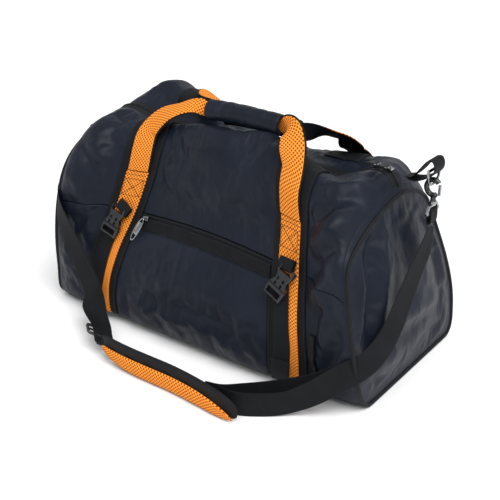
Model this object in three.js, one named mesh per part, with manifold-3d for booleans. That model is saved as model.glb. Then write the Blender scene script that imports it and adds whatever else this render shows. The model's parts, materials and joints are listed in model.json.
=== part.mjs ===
// A packed sports holdall: a soft, slumped bag with a zip along its top, a zipped front pocket, two carrying
// handles sewn on webbing bands, two buckled compression straps and a shoulder strap clipped to both ends.
// Millimetres. X runs along the bag, the front faces -Y, Z is up, and the origin is the middle of the base.

import * as THREE from 'three';
import { mergeVertices } from 'three/addons/utils/BufferGeometryUtils.js';
import Module from 'manifold-3d';

const wasm = await Module();
wasm.setup();

// ---------------------------------------------------------------- driving dimensions

const HALF_LENGTH = 300;
const BAND_X = 183;
const BAND_WIDTH = 64;
const STRAP_WIDTH = 38;
const PANEL_THICKNESS = 2.4;
const WEBBING_THICKNESS = 1.4;
const MESH_THICKNESS = 1.8;
const SEAM_GAP = 0.02;
const PIPING_RADIUS = 3.2;
const GRIP_RADIUS = 16.5;
const GRIP_LENGTH = 132;
const GRIP_SLOT = [27, 10.4];
const END_LEAN = { left: 22, right: 36 };
const BUCKLE_THICKNESS = 8;
const BUCKLE_SHIFT = -4;
const BUCKLE_ROLL = -17;
const TAB_WIDTH = 25;
const HOOK_THICKNESS = 7;

// Heights of the layers that lie on the bag, measured out from its skin.
const BAND_LAYER = 2.2;
const MESH_LAYER = 5.1;
const TAIL_LAYER = 8.2;
const BUCKLE_LAYER = 10.7;
const HANDLE_LAYER = 7.4;

// ---------------------------------------------------------------- the slumped skin

// Landmark lines that run the length of the bag, as [y, z] at each station. The foot is the half depth of
// the base in front and behind. The rest climb the front, cross the zip and go down the back.
const STATIONS = [
  { x: -300, foot: [136, 138], front: [[-138, 60], [-140, 120], [-136, 176], [-124, 222], [-102, 250]],
    ridge: [-62, 272], zip: [[-12, 282], [12, 284]], backRidge: [54, 284],
    back: [[98, 268], [126, 228], [140, 148], [140, 68]] },
  { x: -282, foot: [144, 146], front: [[-147, 60], [-146, 120], [-142, 180], [-134, 230], [-114, 268]],
    ridge: [-70, 296], zip: [[-12, 306], [12, 309]], backRidge: [62, 318],
    back: [[112, 300], [138, 244], [148, 150], [148, 70]] },
  { x: -215, foot: [148, 150], front: [[-150, 60], [-136, 118], [-112, 180], [-98, 236], [-84, 280]],
    ridge: [-56, 308], zip: [[-12, 302], [12, 304]], backRidge: [62, 334],
    back: [[110, 312], [140, 246], [152, 150], [154, 70]] },
  { x: -150, foot: [150, 152], front: [[-154, 60], [-136, 118], [-106, 182], [-90, 240], [-77, 290]],
    ridge: [-56, 318], zip: [[-12, 298], [12, 295]], backRidge: [58, 306],
    back: [[102, 288], [136, 236], [153, 148], [156, 68]] },
  { x: 0, foot: [152, 152], front: [[-162, 60], [-150, 122], [-114, 188], [-98, 242], [-84, 300]],
    ridge: [-62, 334], zip: [[-16, 300], [8, 291]], backRidge: [58, 281],
    back: [[100, 264], [138, 220], [156, 142], [158, 65]] },
  { x: 150, foot: [152, 150], front: [[-160, 60], [-152, 116], [-122, 180], [-98, 238], [-86, 300]],
    ridge: [-66, 334], zip: [[-16, 292], [10, 284]], backRidge: [58, 286],
    back: [[98, 268], [132, 216], [152, 142], [155, 65]] },
  { x: 215, foot: [148, 147], front: [[-156, 60], [-154, 114], [-134, 178], [-112, 236], [-100, 276]],
    ridge: [-74, 303], zip: [[-14, 283], [10, 282]], backRidge: [56, 292],
    back: [[94, 270], [124, 212], [146, 138], [150, 64]] },
  { x: 282, foot: [144, 140], front: [[-160, 60], [-168, 118], [-166, 178], [-156, 230], [-130, 262]],
    ridge: [-78, 284], zip: [[-12, 298], [12, 298]], backRidge: [50, 285],
    back: [[82, 257], [102, 205], [124, 130], [138, 62]] },
  { x: 300, foot: [136, 130], front: [[-160, 58], [-170, 114], [-166, 172], [-152, 220], [-116, 240]],
    ridge: [-70, 256], zip: [[-14, 266], [10, 266]], backRidge: [44, 258],
    back: [[70, 240], [90, 194], [114, 126], [128, 62]] },
];

// How far each station's top leans towards the middle of the bag, pulled there by the handles.
const LEAN = {
  positions: [-300, -215, -150, 0, 150, 215, 300],
  amounts: [END_LEAN.left, 42, 48, 0, 40, 42, END_LEAN.right],
};
const LEAN_START = 50;
const LEAN_RISE = 270;

// Line numbers of the landmarks. Line 0 is the middle of the base, and there are LINES in all.
const CORNER_HEIGHT = 13;
const BASE_FRONT = 3;
const SEAM_FRONT = 6;
const BOX_TOP_FRONT = 7;
const RIDGE_FRONT = 9;
const ZIP_FRONT = 10;
const ZIP_BACK = 11;
const BOX_TOP_BACK = 13;
const SEAM_BACK = 14;
const BASE_BACK = 17;
const LINES = 20;

function stationLines({ foot: [front, back], front: rise, ridge, zip, backRidge, back: fall }) {
  return [
    [0, 0], [-0.47 * front, 0], [-0.84 * front, 0], [-front, CORNER_HEIGHT],
    ...rise, ridge, ...zip, backRidge, ...fall,
    [back, CORNER_HEIGHT], [0.84 * back, 0], [0.47 * back, 0],
  ];
}

function alongBag(positions, samples, size) {
  return new THREE.CubicInterpolant(positions, samples, size, new Float64Array(size));
}

const lineAt = alongBag(
  STATIONS.map((station) => station.x),
  STATIONS.flatMap(stationLines).flat(),
  2 * LINES,
);
const leanAt = alongBag(LEAN.positions, LEAN.amounts, 1);
const sections = new Map();

function section(u) {
  if (!sections.has(u)) {
    const flat = lineAt.evaluate(u);
    const pointAt = (_, i) => new THREE.Vector3(0, flat[2 * i], flat[2 * i + 1]);
    const points = Array.from({ length: LINES }, pointAt);
    sections.set(u, new THREE.CatmullRomCurve3(points, true, 'centripetal'));
  }
  return sections.get(u);
}

function leanOffset(u, z) {
  const rise = THREE.MathUtils.smoothstep(z, LEAN_START, LEAN_START + LEAN_RISE);
  return -Math.sign(u) * leanAt.evaluate(u)[0] * rise;
}

function skinPoint(u, line) {
  const wrapped = THREE.MathUtils.euclideanModulo(line, LINES) / LINES;
  const point = section(u).getPoint(wrapped);
  point.z = Math.max(point.z, 0);
  point.x = u + leanOffset(u, point.z);
  return point;
}

// Directions along the bag, around its girth and out of its skin.
function skinAxes(u, line) {
  const along = skinPoint(u + 2, line).sub(skinPoint(u - 2, line)).normalize();
  const around = skinPoint(u, line + 0.04).sub(skinPoint(u, line - 0.04)).normalize();
  const out = new THREE.Vector3().crossVectors(along, around).normalize();
  return { along, around: new THREE.Vector3().crossVectors(out, along), out };
}

function onSkin(u, line, height = 0) {
  return skinPoint(u, line).addScaledVector(skinAxes(u, line).out, height);
}

// ---------------------------------------------------------------- building blocks

const GRID_X = [-282, -255, -BAND_X - BAND_WIDTH / 2, -BAND_X, -BAND_X + BAND_WIDTH / 2, -100, -50, 0,
  50, 100, 126, BAND_X - BAND_WIDTH / 2, BAND_X, BAND_X + BAND_WIDTH / 2, 255, 282];
const RIDGE_LINES = [8.75, 9.25, 9.75];
const GRID_LINES = [...Array.from({ length: 4 * LINES }, (_, i) => (i - LINES) / 2), ...RIDGE_LINES]
  .sort((a, b) => a - b);

function gridBetween(grid, from, to) {
  const margin = 0.05;
  return [from, ...grid.filter((value) => value > from + margin && value < to - margin), to];
}

function bare(geometry) {
  geometry.deleteAttribute('normal');
  geometry.deleteAttribute('uv');
  return mergeVertices(geometry, 1e-4);
}

function bend(geometry, place) {
  const position = geometry.attributes.position;
  const vertex = new THREE.Vector3();
  for (let i = 0; i < position.count; i += 1) {
    vertex.fromBufferAttribute(position, i);
    const placed = place(vertex);
    position.setXYZ(i, placed.x, placed.y, placed.z);
  }
  return bare(geometry);
}

// A sheet of the given thickness laid over the skin between two stations and two landmark lines.
function skinSheet([fromX, toX], [fromLine, toLine], height, thickness) {
  const across = gridBetween(GRID_X, fromX, toX);
  const around = gridBetween(GRID_LINES, fromLine, toLine);
  const columns = across.length - 1;
  const rows = around.length - 1;
  const box = new THREE.BoxGeometry(columns, rows, 1, columns, rows, 1);
  return bend(box, (vertex) => {
    const u = across[Math.round(vertex.x + (across.length - 1) / 2)];
    const line = around[Math.round(vertex.y + (around.length - 1) / 2)];
    return onSkin(u, line, vertex.z > 0 ? height + thickness : height);
  });
}

// A flat strap that follows stops: where its middle passes, which way its face looks and how wide it is.
// A second layer follows the same stops, lifted off the first along its face.
function ribbon(stops, thickness, steps, lift = 0, narrower = 0) {
  const path = new THREE.CatmullRomCurve3(stops.map(({ at }) => at), false, 'centripetal');
  const faces = new THREE.CatmullRomCurve3(stops.map(({ out }) => out), false, 'centripetal');
  const widths = stops.map(({ width }) => (width ?? STRAP_WIDTH) - narrower);
  const box = new THREE.BoxGeometry(1, 1, thickness, 2, steps, 1);
  return bend(box, (vertex) => {
    const t = THREE.MathUtils.clamp(vertex.y + 0.5, 0, 1);
    const place = t * (stops.length - 1);
    const index = Math.min(Math.floor(place), stops.length - 2);
    const width = THREE.MathUtils.lerp(widths[index], widths[index + 1], place - index);
    const tangent = path.getTangent(t);
    const side = new THREE.Vector3().crossVectors(tangent, faces.getPoint(t)).normalize();
    const out = new THREE.Vector3().crossVectors(side, tangent);
    return path.getPoint(t).addScaledVector(side, vertex.x * width).addScaledVector(out, vertex.z + lift);
  });
}

function stop(at, out, width) {
  return { at: new THREE.Vector3(...at), out: new THREE.Vector3(...out).normalize(), width };
}

function skinStop(u, line, height, width) {
  return { at: onSkin(u, line, height), out: skinAxes(u, line).out, width };
}

function outline(points) {
  return new THREE.Shape(points.map(([x, y]) => new THREE.Vector2(x, y)));
}

// A slab cut from an outline in the XY plane with holes, standing on z = 0.
// Its edges are broken by a small bevel.
function slab(points, holes, thickness, bevel = 0) {
  const shape = outline(points);
  shape.holes = holes.map(outline);
  const options = { depth: thickness - 2 * bevel, bevelEnabled: bevel > 0, bevelSize: bevel,
    bevelThickness: bevel, bevelOffset: -bevel, bevelSegments: 1, steps: 1, curveSegments: 6 };
  return new THREE.ExtrudeGeometry(shape, options).translate(0, 0, bevel);
}

// An oval outline. A power of 1 gives an ellipse, and a smaller one a rectangle with round corners.
function ovalPoints(halfX, halfY, count, centre = [0, 0], power = 1) {
  const swell = (value) => Math.sign(value) * Math.abs(value) ** power;
  return Array.from({ length: count }, (_, i) => {
    const angle = (2 * Math.PI * (i + 0.5)) / count;
    return [centre[0] + halfX * swell(Math.cos(angle)), centre[1] + halfY * swell(Math.sin(angle))];
  });
}

function block(from, to) {
  const size = to.map((value, axis) => value - from[axis]);
  const middle = to.map((value, axis) => (value + from[axis]) / 2);
  return new THREE.BoxGeometry(...size).translate(...middle);
}

function solid(geometry) {
  const merged = bare(geometry.index ? geometry : geometry.clone());
  const vertProperties = new Float32Array(merged.attributes.position.array);
  const triVerts = new Uint32Array(merged.index.array);
  return new wasm.Manifold(new wasm.Mesh({ numProp: 3, vertProperties, triVerts }));
}

function joined(adds, cuts = []) {
  const body = adds.map(solid).reduce((sum, piece) => sum.add(piece));
  const result = cuts.map(solid).reduce((rest, piece) => rest.subtract(piece), body).getMesh();
  const geometry = new THREE.BufferGeometry();
  geometry.setAttribute('position', new THREE.BufferAttribute(result.vertProperties, 3));
  geometry.setIndex(new THREE.BufferAttribute(result.triVerts, 1));
  return geometry;
}

// ---------------------------------------------------------------- materials

function material(color, roughness, metalness = 0) {
  return new THREE.MeshStandardMaterial({ color, roughness, metalness });
}

const nylon = () => material('#20242e', 0.62);
const webbing = () => material('#15171b', 0.78);
const orangeMesh = () => material('#f07a1c', 0.8);
const trim = () => material('#0c0d10', 0.7);
const plastic = () => material('#3a3d41', 0.35);
const steel = () => material('#c4c6c8', 0.25, 0.9);

const bag = new THREE.Group();

function add(name, geometry, finish) {
  const mesh = new THREE.Mesh(geometry, finish);
  mesh.name = name;
  bag.add(mesh);
  return mesh;
}

// Stands a piece on the skin, its Y up the girth and its Z out, turned in its own plane by roll degrees.
function stand(mesh, u, line, height, roll = 0) {
  const { along, around, out } = skinAxes(u, line);
  mesh.quaternion.setFromRotationMatrix(new THREE.Matrix4().makeBasis(along, around, out));
  mesh.rotateZ(THREE.MathUtils.degToRad(roll));
  mesh.position.copy(onSkin(u, line, height));
}

// ---------------------------------------------------------------- sewn panels

const PANEL_END = HALF_LENGTH - 2 * PIPING_RADIUS - 1.2;
const PANEL_SPAN = [-PANEL_END, PANEL_END];

function addPanels() {
  const panels = {
    base_panel: [BASE_BACK - LINES, BASE_FRONT],
    front_lower_panel: [BASE_FRONT, SEAM_FRONT],
    front_upper_panel: [SEAM_FRONT, ZIP_FRONT],
    back_upper_panel: [ZIP_BACK, SEAM_BACK],
    back_lower_panel: [SEAM_BACK, BASE_BACK],
  };
  for (const [name, [from, to]] of Object.entries(panels)) {
    const lines = [from + SEAM_GAP / 2, to - SEAM_GAP / 2];
    add(name, skinSheet(PANEL_SPAN, lines, -PANEL_THICKNESS, PANEL_THICKNESS), nylon());
  }
}

// The end panels stand inside the ring of piping. Their outline is the skin's section, drawn in and leaning.
function addEndPanel(side, sign) {
  const inset = 2 * PIPING_RADIUS - 0.6;
  const floor = 2 * PIPING_RADIUS + 0.8;
  const count = 2 * LINES;
  const rim = Array.from({ length: count }, (_, i) => onSkin(sign * HALF_LENGTH, i / 2, -inset));
  const sheet = slab(rim.map((point) => [point.y, Math.max(point.z, floor)]), [], PANEL_THICKNESS);
  const panel = bend(sheet, ({ x: y, y: z, z: depth }) => {
    const place = sign * (HALF_LENGTH - 2.5) + leanOffset(sign * HALF_LENGTH, z);
    return new THREE.Vector3(place + depth - PANEL_THICKNESS / 2, y, z);
  });
  add(`end_panel_${side}`, panel, nylon());
}

function addPiping(side, sign) {
  const count = 2 * LINES;
  const buttGap = 0.06;
  const points = Array.from({ length: count + 1 }, (_, i) => {
    const line = THREE.MathUtils.lerp(buttGap, LINES - buttGap, i / count);
    const point = onSkin(sign * (HALF_LENGTH - PIPING_RADIUS), line, -1);
    point.z = Math.max(point.z, PIPING_RADIUS + 0.05);
    return point;
  });
  const path = new THREE.CatmullRomCurve3(points);
  const shape = outline(ovalPoints(PIPING_RADIUS, PIPING_RADIUS, 6));
  const cord = new THREE.ExtrudeGeometry(shape, { steps: 56, extrudePath: path, bevelEnabled: false });
  add(`piping_${side}`, bare(cord), trim());
}

function addBaseBoard() {
  const halfX = 270;
  const halfY = 118;
  const board = slab([[-halfX, -halfY], [halfX, -halfY], [halfX, halfY], [-halfX, halfY]], [], 2);
  add('base_board', bare(board.translate(0, 0, PANEL_THICKNESS + 0.4)), trim());
}

function addZips() {
  const middle = (ZIP_FRONT + ZIP_BACK) / 2;
  const span = [-PANEL_END + 4, PANEL_END - 4];
  add('main_zip_front', skinSheet(span, [ZIP_FRONT + SEAM_GAP, middle - SEAM_GAP], -1.8, 1.2), trim());
  add('main_zip_back', skinSheet(span, [middle + SEAM_GAP, ZIP_BACK - SEAM_GAP], -1.8, 1.2), trim());
  const inner = BAND_X - BAND_WIDTH / 2 - 2;
  add('pocket_panel', skinSheet([-inner, inner], [BASE_FRONT + 0.1, 5.6], 0.9, 1.6), nylon());
  add('pocket_zip', skinSheet([-inner, inner], [5.63, SEAM_FRONT], 0.9, 1.6), webbing());
}

// ---------------------------------------------------------------- bands and buckled straps

const BANDS = { left: -BAND_X, right: BAND_X };
const BUCKLE_LINE = 5.68;

function addBands(side, x) {
  const span = [x - BAND_WIDTH / 2, x + BAND_WIDTH / 2];
  const front = [BASE_FRONT + 0.1, ZIP_FRONT - 0.5];
  const back = [ZIP_BACK + 0.5, BASE_BACK - 0.1];
  add(`band_${side}_front`, skinSheet(span, front, BAND_LAYER, WEBBING_THICKNESS), webbing());
  add(`band_${side}_back`, skinSheet(span, back, BAND_LAYER, WEBBING_THICKNESS), webbing());
  const strap = [x - STRAP_WIDTH / 2, x + STRAP_WIDTH / 2];
  const sewn = [BASE_FRONT + 0.2, BOX_TOP_FRONT - 0.02];
  add(`mesh_strap_${side}`, skinSheet(strap, sewn, MESH_LAYER, MESH_THICKNESS), orangeMesh());
}

const FEMALE_OUTLINE = [[-16, -7], [16, -7], [13, 0], [11, 5], [13.5, 14], [14, 24], [-14, 24], [-13.5, 14],
  [-11, 5], [-13, 0]];
const MALE_OUTLINE = [[-15.5, -24], [15.5, -24], [16.5, -14], [16, -7.6], [-16, -7.6], [-16.5, -14]];

function femaleHalf() {
  const shell = slab(FEMALE_OUTLINE, [], BUCKLE_THICKNESS, 1);
  const cavity = block([-8.8, -9, 2], [8.8, 11, 6]);
  const releases = block([-20, -1.5, 1.6], [20, 7.5, 6.4]);
  const barSlot = block([-11.5, 15.5, -1], [11.5, 20.5, 9]);
  const thinBar = [[-1, 2.3], [5.7, 9]].map(([low, high]) => block([-11.5, 20, low], [11.5, 26, high]));
  const eyes = [-5.6, 5.6].flatMap((x) => [-3.4, 4.4].map((y) => {
    return slab(ovalPoints(2.3, 3, 10, [x, y]), [], 4).translate(0, 0, 5.5);
  }));
  return joined([shell], [cavity, releases, barSlot, ...thinBar, ...eyes]);
}

function maleHalf() {
  const foot = slab(MALE_OUTLINE, [], BUCKLE_THICKNESS, 1);
  const window = block([-12.6, -21, -1], [12.6, -12.5, 9]);
  const guide = block([-1.6, -9, 2.6], [1.6, 8, 5.4]);
  const arms = [-1, 1].map((sign) => {
    const reach = [[4.2, -9], [7, -9], [7.6, 2], [8.2, 6], [6.4, 9.4], [4.6, 6]];
    const points = reach.map(([x, y]) => [sign * x, y]);
    return slab(sign > 0 ? points : points.reverse(), [], 2.8).translate(0, 0, 2.6);
  });
  return joined([foot, guide, ...arms], [window]);
}

// A flat webbing loop round a bar, as a racetrack ring of the given length and height, extruded to its width.
function webbingRing(length, height, width) {
  const inner = { x: length / 2 - WEBBING_THICKNESS, y: height / 2 - WEBBING_THICKNESS };
  const squareness = 0.35;
  const rim = ovalPoints(length / 2, height / 2, 16, [0, 0], squareness);
  const ring = slab(rim, [ovalPoints(inner.x, inner.y, 16, [0, 0], squareness).reverse()], width);
  return bare(ring.translate(0, 0, -width / 2).rotateX(Math.PI / 2).rotateZ(Math.PI / 2));
}

function addBuckle(side, x) {
  const u = x + BUCKLE_SHIFT;
  const place = (mesh) => stand(mesh, u, BUCKLE_LINE, BUCKLE_LAYER, BUCKLE_ROLL);
  place(add(`buckle_female_${side}`, femaleHalf(), plastic()));
  place(add(`buckle_male_${side}`, maleHalf(), plastic()));
  const loop = webbingRing(18, 7, 22).translate(0, 27.3, 4);
  place(add(`buckle_loop_${side}`, loop, webbing()));
  const lines = [5.35, 5, 4.5, 4, 3.6, BASE_FRONT + 0.25];
  const stops = lines.map((line) => skinStop(u, line, TAIL_LAYER + 0.6, 25));
  add(`lower_strap_${side}`, ribbon(stops, WEBBING_THICKNESS, 14), webbing());
}

function addTag() {
  add('flag_tag', skinSheet([BAND_X + 36, BAND_X + 50], [3.75, 4.85], 1.6, 1.2), trim());
}

// ---------------------------------------------------------------- handles

function gripSleeve(centre) {
  const hole = ovalPoints(GRIP_SLOT[1] / 2, GRIP_SLOT[0] / 2, 12, [0, 0], 0.4).reverse();
  const shape = outline(ovalPoints(GRIP_RADIUS, GRIP_RADIUS, 14));
  shape.holes = [outline(hole)];
  const sleeve = new THREE.ExtrudeGeometry(shape, { depth: GRIP_LENGTH, steps: 4, bevelEnabled: false });
  return bend(sleeve, ({ x, y, z }) => {
    const along = z - GRIP_LENGTH / 2;
    const arch = 3 * (1 - (2 * along / GRIP_LENGTH) ** 2);
    return new THREE.Vector3(centre[0] + along, centre[1] + x, centre[2] + y + arch);
  });
}

const GRIPS = { front: [24, -42, 348], back: [28, -3, 331] };

// Each leg leaves the stitched box, climbs its band to the ridge and turns into the end of the grip.
function legStops(sign, lines, height, turn) {
  const climb = lines.map((line) => skinStop(sign * BAND_X, line, height));
  return [...climb, ...turn];
}

function handleStops(which) {
  const [gx, gy, gz] = GRIPS[which];
  const facing = which === 'front' ? -1 : 1;
  const end = GRIP_LENGTH / 2;
  const inGrip = [-end, -end / 2, 0, end / 2, end].map((x) => {
    const arch = 3 * (1 - (x / end) ** 2);
    return stop([gx + x, gy - facing * 2.1, gz + arch], [0, facing, 0], 22);
  });
  const climbs = which === 'front' ? [7.12, 7.4, 7.7, 8, 8.3] : [12.88, 12.65, 12.4, 12.2];
  const turns = {
    front: [
      [stop([-110, -64, 326], [-0.2, -0.8, 0.6], 37), stop([-88, -55, 341], [-0.1, -0.8, 0.5], 34),
        stop([-64, -45, 351], [0.1, -1, 0.2], 27)],
      [stop([132, -79, 336], [0.2, -0.9, 0.4], 37), stop([122, -66, 352], [0.1, -0.9, 0.3], 33),
        stop([106, -49, 354], [0, -1, 0.1], 26)],
    ],
    back: [
      [stop([-112, 42, 328], [0, 0.8, 0.6], 37), stop([-82, 18, 333], [-0.1, 0.9, 0.5], 32),
        stop([-56, 3, 333], [0, 1, 0.2], 26)],
      [stop([145, 52, 311], [0.1, 0.7, 0.7], 37), stop([132, 30, 324], [0.1, 0.7, 0.6], 33),
        stop([114, 6, 331], [0, 1, 0.3], 26)],
    ],
  }[which];
  const left = legStops(-1, climbs, HANDLE_LAYER, turns[0]);
  const right = legStops(1, climbs, HANDLE_LAYER, turns[1]);
  return { left, right, inGrip };
}

function addHandle(which) {
  const { left, right, inGrip } = handleStops(which);
  const whole = [...left, ...inGrip, ...[...right].reverse()];
  if (which === 'back') whole.reverse();
  // The orange mesh lies on the outer face of the webbing and runs through the grip with it.
  const meshLift = (WEBBING_THICKNESS + MESH_THICKNESS) / 2 + 2.6;
  add(`${which}_handle_webbing`, ribbon(whole, WEBBING_THICKNESS, 64), webbing());
  add(`${which}_handle_mesh`, ribbon(whole, MESH_THICKNESS, 64, meshLift, 3), orangeMesh());
  add(`${which}_grip`, gripSleeve(GRIPS[which]), nylon());
}

// ---------------------------------------------------------------- zip sliders and pulls

function sliderBody(width, length) {
  const half = width / 2;
  const nose = [
    [-half, -length / 2],
    [half, -length / 2],
    [half * 0.7, length / 2],
    [-half * 0.7, length / 2],
  ];
  const plate = slab(nose, [], 2.6, 0.4);
  const arch = slab([[-length / 3, 2.4], [length / 3, 2.4], [length / 4, 5.4], [-length / 4, 5.4]],
    [[[-length / 5, 2.9], [-length / 6, 4.5], [length / 6, 4.5], [length / 5, 2.9]].reverse()], 2.4);
  return joined([plate, arch.translate(0, 0, -1.2).rotateX(Math.PI / 2).rotateZ(Math.PI / 2)]);
}

function pullTab(length, width, thickness, eye) {
  const rim = ovalPoints(width / 2, length / 2, 16, [0, -length / 2], 0.4);
  const top = ovalPoints(eye, eye, 8, [0, -eye - 1.4]).reverse();
  const foot = ovalPoints(width / 2 - 1.6, eye * 1.4, 8, [0, -length + eye * 1.4 + 1.6]).reverse();
  return bare(slab(rim, [top, foot], thickness, 0.3));
}

const MAIN_SLIDERS = { a: 262, b: 277 };
const SLIDER_CLEARANCE = 0.6;
const PULL_REST = 6.2;
const ZIP_MIDDLE = (ZIP_FRONT + ZIP_BACK) / 2;
const POCKET_SLIDER_X = -136;

// A slider stands level over the zip, its nose towards the closed end, with its pull laid down in front.
function addMainSlider(key) {
  const spot = skinPoint(MAIN_SLIDERS[key], ZIP_MIDDLE);
  const slider = add(`main_slider_${key}`, sliderBody(9, 12), steel());
  slider.rotation.z = Math.PI / 2;
  slider.position.set(spot.x, spot.y, spot.z + SLIDER_CLEARANCE);
  const pull = add(`main_pull_${key}`, pullTab(30, 10, 1.8, 2.2), trim());
  pull.rotation.x = THREE.MathUtils.degToRad(-14);
  pull.position.set(spot.x, spot.y - 3.5, spot.z + SLIDER_CLEARANCE + PULL_REST);
}

function addPocketSlider() {
  const slider = add('pocket_slider', sliderBody(8, 10), steel());
  stand(slider, POCKET_SLIDER_X, SEAM_FRONT - 0.1, 4, 90);
  const pull = add('pocket_pull', pullTab(42, 9, 1.8, 1.9), steel());
  stand(pull, POCKET_SLIDER_X, SEAM_FRONT - 0.1, 10.2, -8);
}

// ---------------------------------------------------------------- end tabs, rings and snap hooks

const TAB_FEET = { left: [-284, 0, 290], right: [270, 0, 300] };
const TAB_DROOP = { left: 75, right: 0 };
const RING_BAR = [38, 19];
const RING_WIRE = 3.4;
const RING_DEPTH = 9;
const HOOK_DROP = 29.8;

// Shapes below are drawn for the right end, outward being +X, and mirrored by turning them half round.
function atEnd(sign, geometry) {
  return bare(sign > 0 ? geometry : geometry.rotateZ(Math.PI));
}

// A teardrop of webbing, sewn into the seam at its foot. The right one stands and the left one droops.
function tabLoop() {
  const outer = [[1, -1.2], [18, 0], [34, 7], [45, 17], [46, 27], [40, 36], [30, 36], [16, 22], [1, 1.2]];
  const inner = [[17, 3], [32, 9.6], [42, 18], [43, 26], [38.6, 32.8], [31.4, 32.8], [18, 19]];
  const strip = slab(outer, [[...inner].reverse()], TAB_WIDTH).translate(0, 0, -TAB_WIDTH / 2);
  return strip.rotateX(Math.PI / 2);
}

function ringPlate() {
  const half = 15;
  const bow = (radius, depth, top) => {
    const arc = Array.from({ length: 9 }, (_, i) => {
      const angle = Math.PI + (Math.PI * i) / 8;
      return [radius * Math.cos(angle), -depth + radius * Math.sin(angle) * 0.8];
    });
    return [[-radius, top], ...arc, [radius, top]];
  };
  const outer = bow(half + RING_WIRE, RING_DEPTH, RING_WIRE / 2);
  const inner = bow(half, RING_DEPTH, -RING_WIRE / 2);
  return slab(outer, [[...inner].reverse()], RING_WIRE, 0.6).translate(0, 0, -RING_WIRE / 2);
}

function ringCentre(side, sign, droop) {
  const reach = new THREE.Vector3(RING_BAR[0], 0, RING_BAR[1]);
  reach.applyAxisAngle(new THREE.Vector3(0, 1, 0), droop);
  return new THREE.Vector3(...TAB_FEET[side]).add(new THREE.Vector3(sign * reach.x, 0, reach.z));
}

// The hook's body is a C with its gap on the outer side, a stem below and the sprung gate across the gap.
function hookBody() {
  const arc = (radius, from, to, count) => Array.from({ length: count }, (_, i) => {
    const angle = THREE.MathUtils.degToRad(THREE.MathUtils.lerp(from, to, i / (count - 1)));
    return [radius * Math.cos(angle), 3 + radius * 1.15 * Math.sin(angle)];
  });
  const body = slab([...arc(12, 38, 300, 12), ...arc(6.6, 300, 38, 9)], [], HOOK_THICKNESS, 0.8);
  const plate = body.translate(0, 0, -HOOK_THICKNESS / 2).rotateX(Math.PI / 2);
  const stem = new THREE.CylinderGeometry(3, 3, 6, 10).rotateX(Math.PI / 2).translate(1, 0, -12.6);
  return joined([plate, stem]);
}

function gateLever() {
  const lever = slab([[-2, 0], [1.6, 0], [1.8, 14.6], [-1.6, 14.6]], [], 4, 0.4);
  return bare(lever.translate(0, 0, -2).rotateX(Math.PI / 2));
}

// The swivel: a collar under the stem and a flat eye for the strap.
function swivelEye() {
  const collar = new THREE.CylinderGeometry(5.4, 4.2, 5, 12).rotateX(Math.PI / 2).translate(0, 0, -2.5);
  const frame = slab([[-18, -17], [18, -17], [19, -14], [12, -4.4], [-12, -4.4], [-19, -14]],
    [[[-14.5, -13.5], [14.5, -13.5], [10.2, -7.2], [-10.2, -7.2]].reverse()], 3.6, 0.5);
  return joined([collar, frame.translate(0, 0, -1.8).rotateX(Math.PI / 2).rotateZ(Math.PI / 2)]);
}

function addEndHardware(side, sign) {
  const droop = THREE.MathUtils.degToRad(TAB_DROOP[side]);
  const bar = ringCentre(side, sign, droop);
  add(`end_tab_${side}`, atEnd(sign, tabLoop().rotateY(droop)), webbing()).position.set(...TAB_FEET[side]);
  const ring = ringPlate().rotateX(Math.PI / 2).rotateZ(Math.PI / 2);
  add(`d_ring_${side}`, atEnd(sign, ring), steel()).position.copy(bar);
  const hookAt = bar.clone().add(new THREE.Vector3(sign * 1, 0, -HOOK_DROP));
  add(`snap_hook_${side}`, atEnd(sign, hookBody()), plastic()).position.copy(hookAt);
  const gateAt = hookAt.clone().add(new THREE.Vector3(sign * 9.6, 0, -6.6));
  add(`hook_gate_${side}`, atEnd(sign, gateLever()), steel()).position.copy(gateAt);
  const eyeAt = hookAt.clone().add(new THREE.Vector3(sign, 0, -16.2));
  add(`swivel_${side}`, atEnd(sign, swivelEye()), steel()).position.copy(eyeAt);
  const fold = webbingRing(22, 8, 19).rotateZ(Math.PI / 2).rotateY(Math.PI / 2);
  const strapEnd = add(`strap_end_${side}`, atEnd(sign, fold), webbing());
  strapEnd.position.copy(eyeAt).add(new THREE.Vector3(0, 0, -21.2));
}

// ---------------------------------------------------------------- shoulder strap

const FLOOR_EDGE = STRAP_WIDTH / 2 + 0.4;

const STRAP_LEFT = [
  stop([-314, 0, 173], [-1, 0, 0], 18),
  stop([-315, -6, 160], [-1, 0, 0], 24),
  stop([-316, -38, 154], [-1, 0, 0], 34),
  stop([-317, -72, 166], [-1, -0.1, 0]),
  stop([-311, -108, 184], [-0.85, -0.5, 0]),
  stop([-291, -152, 178], [-0.6, -0.8, 0.1]),
  stop([-253, -173, 138], [-0.2, -1, 0.1]), stop([-218, -182, 95], [0, -1, 0.1]),
  stop([-184, -196, 54], [0.1, -1, 0.2]), stop([-150, -212, 30], [-0.1, -1, 0.1]),
  stop([-124, -232, FLOOR_EDGE + 2], [-0.4, -0.9, 0]),
];

const STRAP_RIGHT = [
  stop([168, -262, FLOOR_EDGE], [0.2, -1, 0]), stop([198, -243, FLOOR_EDGE], [0.6, -0.8, 0]),
  stop([226, -224, 24], [0.7, -0.7, 0]), stop([256, -207, 37], [0.6, -0.8, 0.1]),
  stop([288, -192, 60], [0.6, -0.8, 0.2]), stop([312, -156, 88], [0.9, -0.45, 0.2]),
  stop([316, -110, 120], [1, -0.2, 0.2]), stop([314, -80, 152], [1, -0.1, 0.1]),
  stop([309, -54, 186], [1, 0, 0]), stop([309, -26, 208], [1, 0, 0], 34), stop([310, -6, 226], [1, 0, 0], 26),
  stop([310, -1, 235], [1, 0, 0], 18),
];

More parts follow.
